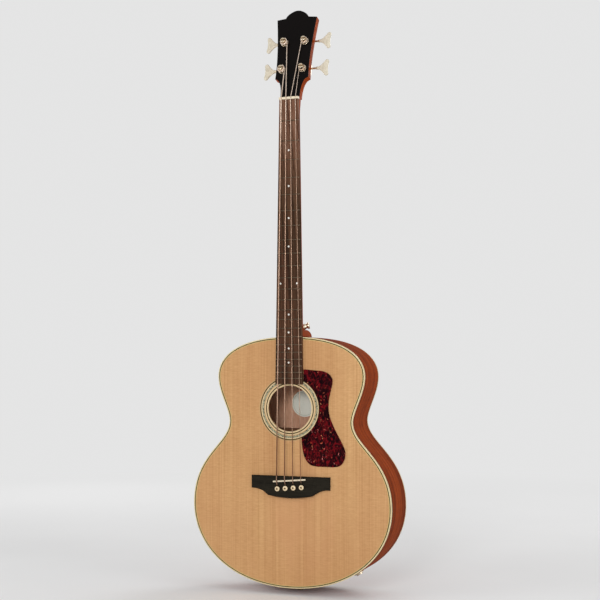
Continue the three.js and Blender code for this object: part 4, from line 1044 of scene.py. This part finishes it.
def build_neck():
    body = joined(shaft(), heel(), head_plate(0, VENEER_THICKNESS, HEAD_THICKNESS, 0.5))
    piece("neck_and_head", body, neck_wood, "neck", angle=42)
    piece("head_face", head_plate(SEAT, 0, VENEER_THICKNESS, 0.2), gloss_black, "head_veneer")
    piece("board", fingerboard(), rosewood, "fingerboard", angle=25)
    wires = merge(*(fret(number) for number in range(1, FRET_COUNT + 1)))
    piece("fret_wires", wires, fret_wire, "fingerboard", angle=50)
    piece("position_dots", position_dots(), pearl, "fingerboard")
    piece("nut_block", nut(), bone, "nut")


# The bridge and the strings


def slant_rise(x):
    return (x - BRIDGE_X) * tan(SLANT)


def pin_place(index):
    x = BRIDGE_X + (index - 1.5) * SADDLE_SPACING
    return x, SADDLE_Z - PIN_SETBACK + slant_rise(x)


def hole_z(index):
    return pin_place(index)[1] + PIN_RADIUS + GAUGES[0] / 2 + SEAT


def bridge_edge():
    """The bridge's lower edge, from its middle to its end."""
    belly, end = BRIDGE_EDGE_Z - BRIDGE_BELLY_HEIGHT, BRIDGE_EDGE_Z - BRIDGE_END_HEIGHT
    cusp, reach = BRIDGE_EDGE_Z - BRIDGE_BELLY_HEIGHT * 0.883, BRIDGE_FLAT - BRIDGE_CUSP
    turn = (BRIDGE_CUSP + reach * 0.54, cusp + (end - cusp) * 0.94)
    edge = [(0.0, belly)] + curve((0.0, belly), (BRIDGE_CUSP / 2, belly), (BRIDGE_CUSP, cusp))
    return edge + curve(edge[-1], turn, (BRIDGE_FLAT, end)) + [(BRIDGE_HALF, end)]


def along_edge(edge, x):
    for (a, low), (b, high) in zip(edge, edge[1:]):
        if x <= b:
            return low + (high - low) * (x - a) / (b - a)
    return edge[-1][1]


def bridge_height(away):
    """The bridge's height, lower in the wings and rounded off at its ends."""
    fall = min(max((away - WING_X) / WING_SLOPE, 0), 1)
    close = max(away - BRIDGE_HALF + BRIDGE_END_ROUNDING, 0) / BRIDGE_END_ROUNDING
    rounding = BRIDGE_ROUNDING * (1 - sqrt(max(1 - close * close, 0)))
    return BRIDGE_THICKNESS - WING_DROP * fall * fall * (3 - 2 * fall) - rounding


def bridge():
    """The centre block and the two wings, as sections along the bridge."""
    edge, rings = bridge_edge(), []
    stops = [BRIDGE_HALF - drop for side, drop in quarter(BRIDGE_END_ROUNDING, 8)]
    stops = [step * 1.25 for step in range(68)] + stops[-2::-1]
    for x in [-x for x in stops[:0:-1]] + stops:
        height = bridge_height(abs(x))
        low, high, across = along_edge(edge, abs(x)), BRIDGE_EDGE_Z, x + BRIDGE_X
        top = FRONT_Y - height - SEAT
        corner = quarter(min(BRIDGE_ROUNDING, height * 0.35), 6)
        ring = [(across, FRONT_Y, high), (across, FRONT_Y, low)]
        ring += [(across, top + side, low + drop) for side, drop in corner]
        ring += [(across, top + side, high - drop) for side, drop in corner[::-1]]
        rings.append(ring)
    block = loft(rings)
    for index in range(len(STRINGS)):
        x, z = pin_place(index)
        room = string_radius(index) + 0.5
        far = (x + room, BRIDGE_Y + 7, hole_z(index) + room)
        block = cut(block, box_mesh((x - room, BRIDGE_Y - 1, z), far))
    return block


def bridge_pin():
    """A pin with a domed head, its seat at the origin, and the dot in its head."""
    dome = [(PIN_RADIUS * across, -1.5 - 1.9 * up) for across, up in arc((0, 0), 1, 0, pi / 2, 8)]
    stem = [(0, PIN_LENGTH), (2.2, PIN_LENGTH), (2.7, 0.5), (2.7, 0), (PIN_RADIUS - 0.3, 0)]
    dot = lathe([(PIN_DOT_RADIUS, -3.0), (PIN_DOT_RADIUS, -3.4), (0.9, -3.46), (0, -3.46)], 32)
    return lathe(stem + dome), dot


def build_bridge():
    piece("bridge_block", bridge(), black_wood, "bridge", angle=50)
    half, thick = SADDLE_LENGTH / 2, SADDLE_THICKNESS / 2
    blade = rounded_box((-half, SADDLE_TOP_Y, -thick), (half, BRIDGE_Y + 4, thick), 1.1, 5)
    turn = shift((BRIDGE_X, 0, SADDLE_Z)) @ Matrix.Rotation(-SLANT, 4, "Y")
    piece("saddle_blade", moved(blade, turn), bone, "saddle")
    for index, name in enumerate(STRINGS):
        x, z = pin_place(index)
        pin, dot = (moved(work, shift((x, BRIDGE_Y, z))) for work in bridge_pin())
        piece(f"pin_{name}", pin, pin_plastic, f"bridge_pin_{name}")
        piece(f"pin_dot_{name}", dot, pin_dot, f"bridge_pin_{name}")


def winding(index, steps=40):
    """The turns round a post, from the free end down to where the string leaves for the nut."""
    name, side, x, z = list(post_places())[index]
    gauge, radius = GAUGES[index], string_radius(index)
    coil = POST_RADIUS + SEAT + radius
    to_nut = Vector((nut_string(index)[0] - x, -z))
    leaving = atan2(to_nut.y, to_nut.x) - side * acos(coil / to_nut.length)
    points = []
    for step in range(round(POST_TURNS * steps), -1, -1):
        turn = step / steps
        angle = leaving - side * turn * 2 * pi
        height = BUSHING_RIM_HEIGHT + SEAT + 1.2 + radius + (gauge + 0.5) * turn
        points.append(Vector((x + coil * cos(angle), -height, z + coil * sin(angle))))
    lead = (points[0] - points[1]).normalized() * gauge
    return [HEAD_FRAME @ point for point in [points[0] + lead] + points]


def string_route(index):
    """From the post's winding over the nut and the saddle, and down beside the pin."""
    x, radius, coil = pin_place(index)[0], string_radius(index), winding(index)
    corners = [
        coil[-1], nut_string(index), (x, SADDLE_TOP_Y - radius - 0.5, SADDLE_Z + slant_rise(x)),
        (x, BRIDGE_Y - radius, hole_z(index)), (x, TOP_UNDER_Y + 5.6, hole_z(index)),
    ]
    return coil[:-1] + rounded(corners, STRING_BEND, 8)


def build_strings():
    for index, name in enumerate(STRINGS):
        route = string_route(index)
        ball = lathe(rounded([(0, -2), (3, -2), (3, 2), (0, 2)], 0.6), 32)
        ball.loops.layers.uv.new("UVMap")
        moved(ball, shift(route[-1]) @ Matrix.Rotation(pi / 2, 4, "Z"))
        cord = merge(tube(route, string_radius(index)), ball)
        piece(f"bass_string_{name}", cord, bronze, f"string_{name}")


# The tuning machines


def bushing():
    bore, stem, rim = POST_RADIUS + SEAT, BUSHING_STEM_RADIUS, BUSHING_RIM_RADIUS
    high = -SEAT - BUSHING_RIM_HEIGHT
    profile = [(bore, BUSHING_DEPTH), (bore, high), (rim, high), (rim, 0), (stem, 0), (stem, BUSHING_DEPTH)]
    return lathe(rounded(profile + profile[:1], 0.7), 56)


def gear():
    root, tip = GEAR_RADII
    outline = []
    for tooth in range(GEAR_TEETH):
        for share, radius in ((-0.26, root), (-0.13, tip), (0.13, tip), (0.26, root)):
            angle = (tooth + share) / GEAR_TEETH * 2 * pi
            outline.append((radius * cos(angle), radius * sin(angle)))
    return flat_mesh([outline], PLATE_BACK_Y + SEAT, PLATE_BACK_Y + SEAT + GEAR_THICKNESS, 0.15)


def post():
    """The post with its slot and bore, and the gear and its screw head behind the plate."""
    bottom = PLATE_BACK_Y + SEAT + GEAR_THICKNESS - 0.3
    top, above = -POST_HEIGHT, -POST_HEIGHT - 2
    turned = lathe(rounded([(0, top), (POST_RADIUS, top), (POST_RADIUS, bottom), (0, bottom)], 0.9), 48)
    slot = box_mesh((-9, above, -1.5), (9, top + 7, 1.5))
    bore = lathe([(0, above), (1.6, above), (1.6, top + 10), (0, top + 10)], 24)
    head = lathe(rounded([(0, 0), (2.6, 0), (2.6, 0.9), (0, 0.9)], 0.4), 32)
    return joined(cut(turned, slot, bore), gear(), moved(head, shift((0, bottom - 0.6, 0))))


def rounded_box_outline(low, high, radius):
    (x0, z0), (x1, z1) = (place + radius for place in low), (place - radius for place in high)
    outline = []
    for quadrant, corner in enumerate(((x1, z1), (x0, z1), (x0, z0), (x1, z0))):
        outline += arc(corner, radius, quadrant * pi / 2, (quadrant + 1) * pi / 2, 6)
    return outline


def screw():
    """A small pan-head screw with a cross, its head towards +Y."""
    head = lathe([(0, 1.0), (0.9, 0.95), (1.5, 0.6), (1.75, 0.1), (1.75, -0.2), (0, -0.2)], 28)
    return cut(head, *(box_mesh((-x, 0.45, -z), (x, 2, z)) for x, z in ((0.22, 1.1), (1.1, 0.22))))


def tuner_plate():
    """The base, two lugs that hold the worm's shaft, and four screws."""
    outline = rounded_box_outline((-13, -11), (13, 18), 3.0)
    base = flat_mesh([outline, circle((0, 0), POST_RADIUS + SEAT, 48)], HEAD_THICKNESS, PLATE_BACK_Y, 0.3)
    turn = Matrix(((0, 1, 0, 0), (1, 0, 0, WORM_Y - 0.15), (0, 0, 1, WORM_OFFSET), (0, 0, 0, 1)))
    bearing = shift((0, WORM_Y, WORM_OFFSET)) @ Matrix.Rotation(pi / 2, 4, "Z")
    bore = SHAFT_RADIUS + SEAT
    for x in (-LUG_X, LUG_X):
        side = rounded_box_outline((-4.75, -4.2), (4.75, 4.2), 2.4)
        lug = moved(flat_mesh([side], x - LUG_HALF_THICKNESS, x + LUG_HALF_THICKNESS, 0.35), turn)
        rod = moved(lathe([(0, -20), (bore, -20), (bore, 20), (0, 20)], 32), bearing)
        base = joined(base, cut(lug, rod))
    places = [(x, PLATE_BACK_Y, z) for x in (-10.6, 10.6) for z in (-8.4, 15.6)]
    return merge(base, *(moved(screw(), shift(place)) for place in places))


def worm(sides=36):
    """The shaft with its screw thread and its collar, along X."""
    start, end = SHAFT_ENDS
    stops = [(start, False), (-WORM_HALF_LENGTH, False)]
    stops += [(-WORM_HALF_LENGTH + step * WORM_PITCH / 12, True) for step in range(74)]
    stops += [(WORM_HALF_LENGTH, False), (end, False)]
    rings = []
    for x, threaded in stops:
        ring = []
        for side, (cosine, sine) in enumerate(circle((0, 0), 1, sides)):
            phase = (x / WORM_PITCH - side / sides) % 1
            depth = min(1, max(0, abs(phase - 0.5) * 3.4 - 0.35))
            radius = WORM_RADIUS - WORM_THREAD_DEPTH * depth if threaded else SHAFT_RADIUS
            ring.append((x, radius * cosine, radius * sine))
        rings.append(ring)
    collar = lathe(rounded([(0, 21.6), (3.1, 21.6), (3.1, 25.0), (0, 25.0)], 0.6), 36)
    return merge(loft(rings), moved(collar, Matrix.Rotation(-pi / 2, 4, "Z")))


def key_outline(steps=16):
    """Two round lobes on hollow flanks, with a hollow outer edge."""
    inner, neck = KEY_REACH - KEY_LENGTH, KEY_NECK_WIDTH / 2
    lobe_x, lobe_z = KEY_REACH - KEY_LOBE_RADIUS, KEY_WIDTH / 2 - KEY_LOBE_RADIUS
    flank, hollow = radians(55), radians(14)
    lobe = arc((lobe_x, -lobe_z), KEY_LOBE_RADIUS, pi * 1.5 - flank, pi * 2 + hollow, steps)
    (flank_x, flank_z), (hollow_x, hollow_z) = lobe[0], lobe[-1]
    bend = (flank_x + (flank_z + neck) / tan(flank), -neck)
    low = [(inner, -neck)] + curve((inner, -neck), bend, lobe[0], steps=steps) + lobe[1:]
    middle = (hollow_x + hollow_z * tan(hollow), 0)
    edge = curve(lobe[-1], middle, (hollow_x, -hollow_z), steps=steps)
    return low + edge[:-1] + [(x, -z) for x, z in low[::-1]]


def moved_in(outline, reach):
    """The outline moved inwards; it runs anticlockwise."""
    made = []
    for index, here in enumerate(outline):
        point, before = Vector(here), Vector(outline[index - 1])
        after = Vector(outline[(index + 1) % len(outline)])
        first, second = (point - before).normalized(), (after - point).normalized()
        inward = Vector((-first.y - second.y, first.x + second.x)).normalized()
        share = max(inward.dot(Vector((-first.y, first.x))), 0.5)
        made.append(tuple(point + inward * reach / share))
    return made


def key_grip(steps=12):
    """The key's handle, whose faces swell from a fully rounded edge."""
    rings = []
    for step in range(steps + 1):
        angle = (step / steps - 0.5) * pi
        drawn = moved_in(key_outline(), KEY_ROUNDING * (1 - cos(angle)))
        y = KEY_THICKNESS / 2 * copysign(abs(sin(angle)) ** 0.8, angle)
        rings.append([(x, y, z) for x, z in drawn])
    return loft(rings)


def build_tuners():
    for name, side, x, z in post_places():
        here = HEAD_FRAME @ shift((x, 0, z))
        turn = Matrix.Rotation(0 if side > 0 else pi, 4, "Y")
        key_frame = here @ shift((0, WORM_Y, WORM_OFFSET)) @ turn
        key, turning_post = f"tuner_key_{name}", f"tuner_post_{name}"
        piece(f"post_bushing_{name}", moved(bushing(), here), nickel, f"tuner_bushing_{name}")
        piece(f"winding_post_{name}", moved(post(), here), nickel, turning_post, body=turning_post)
        piece(f"machine_plate_{name}", moved(tuner_plate(), here), nickel, f"tuner_plate_{name}")
        piece(f"key_worm_{name}", moved(worm(), key_frame), nickel, key, body=key)
        grip = moved(key_grip(), key_frame)
        piece(f"key_grip_{name}", grip, key_pearl, key, body=key, angle=60)


# Strap buttons and jack, drawn along +Y and turned into place


def facing(place, way):
    """A frame at that place whose Y axis points that way."""
    return shift(place) @ Vector((0, 1, 0)).rotation_difference(way).to_matrix().to_4x4()


def strap_button(height, stem=0):
    """A button on its foot, and the stem below it where it has one."""
    profile = [(0, -stem), (4, -stem), (4, 0)] if stem else [(0, 0)]
    waist = [(6.2, 0), (6.2, height / 4), (4.2, height / 2), (7.5, height * 0.75), (6.6, height), (0, height)]
    return lathe(profile + rounded(waist, 2.4, 6), 64)


def jack_socket():
    """The jack's body with its collar, open at the front."""
    body = rounded([(0, -26), (6, -26), (6, 0), (11, 0), (11, 2.3), (7.6, 2.3)], 0.8)
    collar = rounded([(7.6, 2.3), (7.3, 5.3), (3.3, 5.3), (3.3, -18), (0, -18)], 0.7)
    return lathe(body[:-1] + collar, 56)


def build_fittings():
    pin = moved(strap_button(TAIL_PIN_HEIGHT, TAIL_PIN_STEM), facing((0, 0, TAIL_Z), Vector((0, 0, -1))))
    piece("tail_strap_pin", pin, nickel, "end_pin")
    foot = HEEL_BUTTON - HEEL_BUTTON_WAY * HEEL_BUTTON_HEIGHT
    button = moved(strap_button(HEEL_BUTTON_HEIGHT), facing(foot, HEEL_BUTTON_WAY))
    piece("heel_button", button, nickel, "heel_strap_button")
    piece("jack_socket", moved(jack_socket(), facing(JACK, JACK_WAY)), nickel, "output_jack")


# Pieces that stay as they are in the solids, with their materials
INSIDE = (
    # The blocks and linings take the inner wood, which is painted paler as painted light.
    (inner_wood_painted_light, "neck_block tail_block lining_front_bass lining_front_treble"),
    (inner_wood_painted_light, "lining_back_bass lining_back_treble"),
    (inner_spruce, "cross_brace_bass cross_brace_treble upper_brace tone_bar_1 tone_bar_2"),
    # The back braces take the darker spruce, which is painted shade.
    (back_spruce_painted_shade, "back_brace_1 back_brace_2 back_brace_3"),
    (rosewood, "bridge_plate"),
    (steel, "truss_rod truss_rod_nut saddle_pickup"),
)


def paint_inside():
    for material, names in INSIDE:
        for name in names.split():
            nodes[name].data.materials.clear()
            nodes[name].data.materials.append(material)


# Floor, light and camera


def build_world():
    """Even light, brighter for the camera's own rays and by way of gloss or glass."""
    world = bpy.data.worlds.new("studio")
    bpy.context.scene.world = world
    world.use_nodes = True
    world.node_tree.nodes.clear()
    tree = NodeTree(world.node_tree)
    rays = tree.node("ShaderNodeLightPath").outputs
    seen = tree.maths("MAXIMUM", rays["Is Camera Ray"], rays["Is Glossy Ray"])
    seen = tree.maths("MAXIMUM", seen, rays["Is Transmission Ray"])
    inputs = {"Color": (1, 1, 1, 1), "Strength": tree.between(seen, 0.5, PALE)}
    shader = tree.node("ShaderNodeBackground", inputs)
    tree.node("ShaderNodeOutputWorld", {"Surface": shader.outputs[0]})


def build_floor():
    """A pale floor that fades into the background far from the object."""
    work = bmesh.new()
    bmesh.ops.create_circle(work, cap_ends=True, radius=6000, segments=128)
    paint = Paint("pale_floor", specular=0.0)
    grain = paint.noise(3, 2)
    paint.finish(paint.blend(grain, 0.80, 0.84), grain, (0.85, 0.95))
    x, y, z = paint.axes()
    far = paint.share(paint.length(x, y), 0.8, 2.7, "SMOOTHSTEP")
    glow = paint.node("ShaderNodeEmission", {"Color": (1, 1, 1, 1), "Strength": PALE})
    mix = paint.node("ShaderNodeMixShader", {0: far, 1: paint.shader.outputs[0], 2: glow.outputs[0]})
    paint.feed(paint.tree.nodes["Material Output"].inputs["Surface"], mix.outputs[0])
    floor = object_of("floor", moved(work, shift((0, 0, -0.5))), paint.material)


def area_light(name, place, target_z, size, power):
    """A round light that faces the object's axis at that height."""
    data = bpy.data.lights.new(name, "AREA")
    data.shape = "DISK"
    data.size = size
    data.energy = power
    lamp = linked(name, data)
    lamp.location = place
    lamp.rotation_euler = (Vector((0, 0, target_z)) - Vector(place)).to_track_quat("-Z", "Y").to_euler()


def build_camera():
    """The photo's view: level, from the front and 20 degrees towards the treble side."""
    data = bpy.data.cameras.new("camera")
    data.lens = VIEW_LENS
    data.sensor_width = 36
    data.shift_y = VIEW_SHIFT
    data.clip_end = 100
    camera = linked("camera", data)
    back = Vector((sin(VIEW_TURN), -cos(VIEW_TURN), 0)) * VIEW_DISTANCE
    aside = Vector((cos(VIEW_TURN), sin(VIEW_TURN), 0)) * VIEW_ASIDE
    camera.location = (Vector((0, FRONT_Y, VIEW_Z)) + back + aside) * MM
    camera.rotation_euler = (radians(90), 0, VIEW_TURN)
    bpy.context.scene.camera = camera


build_body()
build_neck()
build_bridge()
build_strings()
build_tuners()
build_fittings()
paint_inside()
build_world()
build_floor()
area_light("key_light", (0.35, -3.0, 1.05), 0.6, 0.9, 38)
area_light("fill_light", (-2.0, -1.9, 1.3), 0.6, 1.4, 12)
area_light("side_light", (2.4, -0.9, 1.0), 0.5, 1.2, 12)
area_light("rear_light", (0.8, 2.2, 2.0), 0.6, 1.4, 20)
area_light("rear_fill_light", (-1.8, 1.8, 1.0), 0.6, 1.2, 10)
build_camera()
bpy.context.scene.view_settings.view_transform = "Standard"
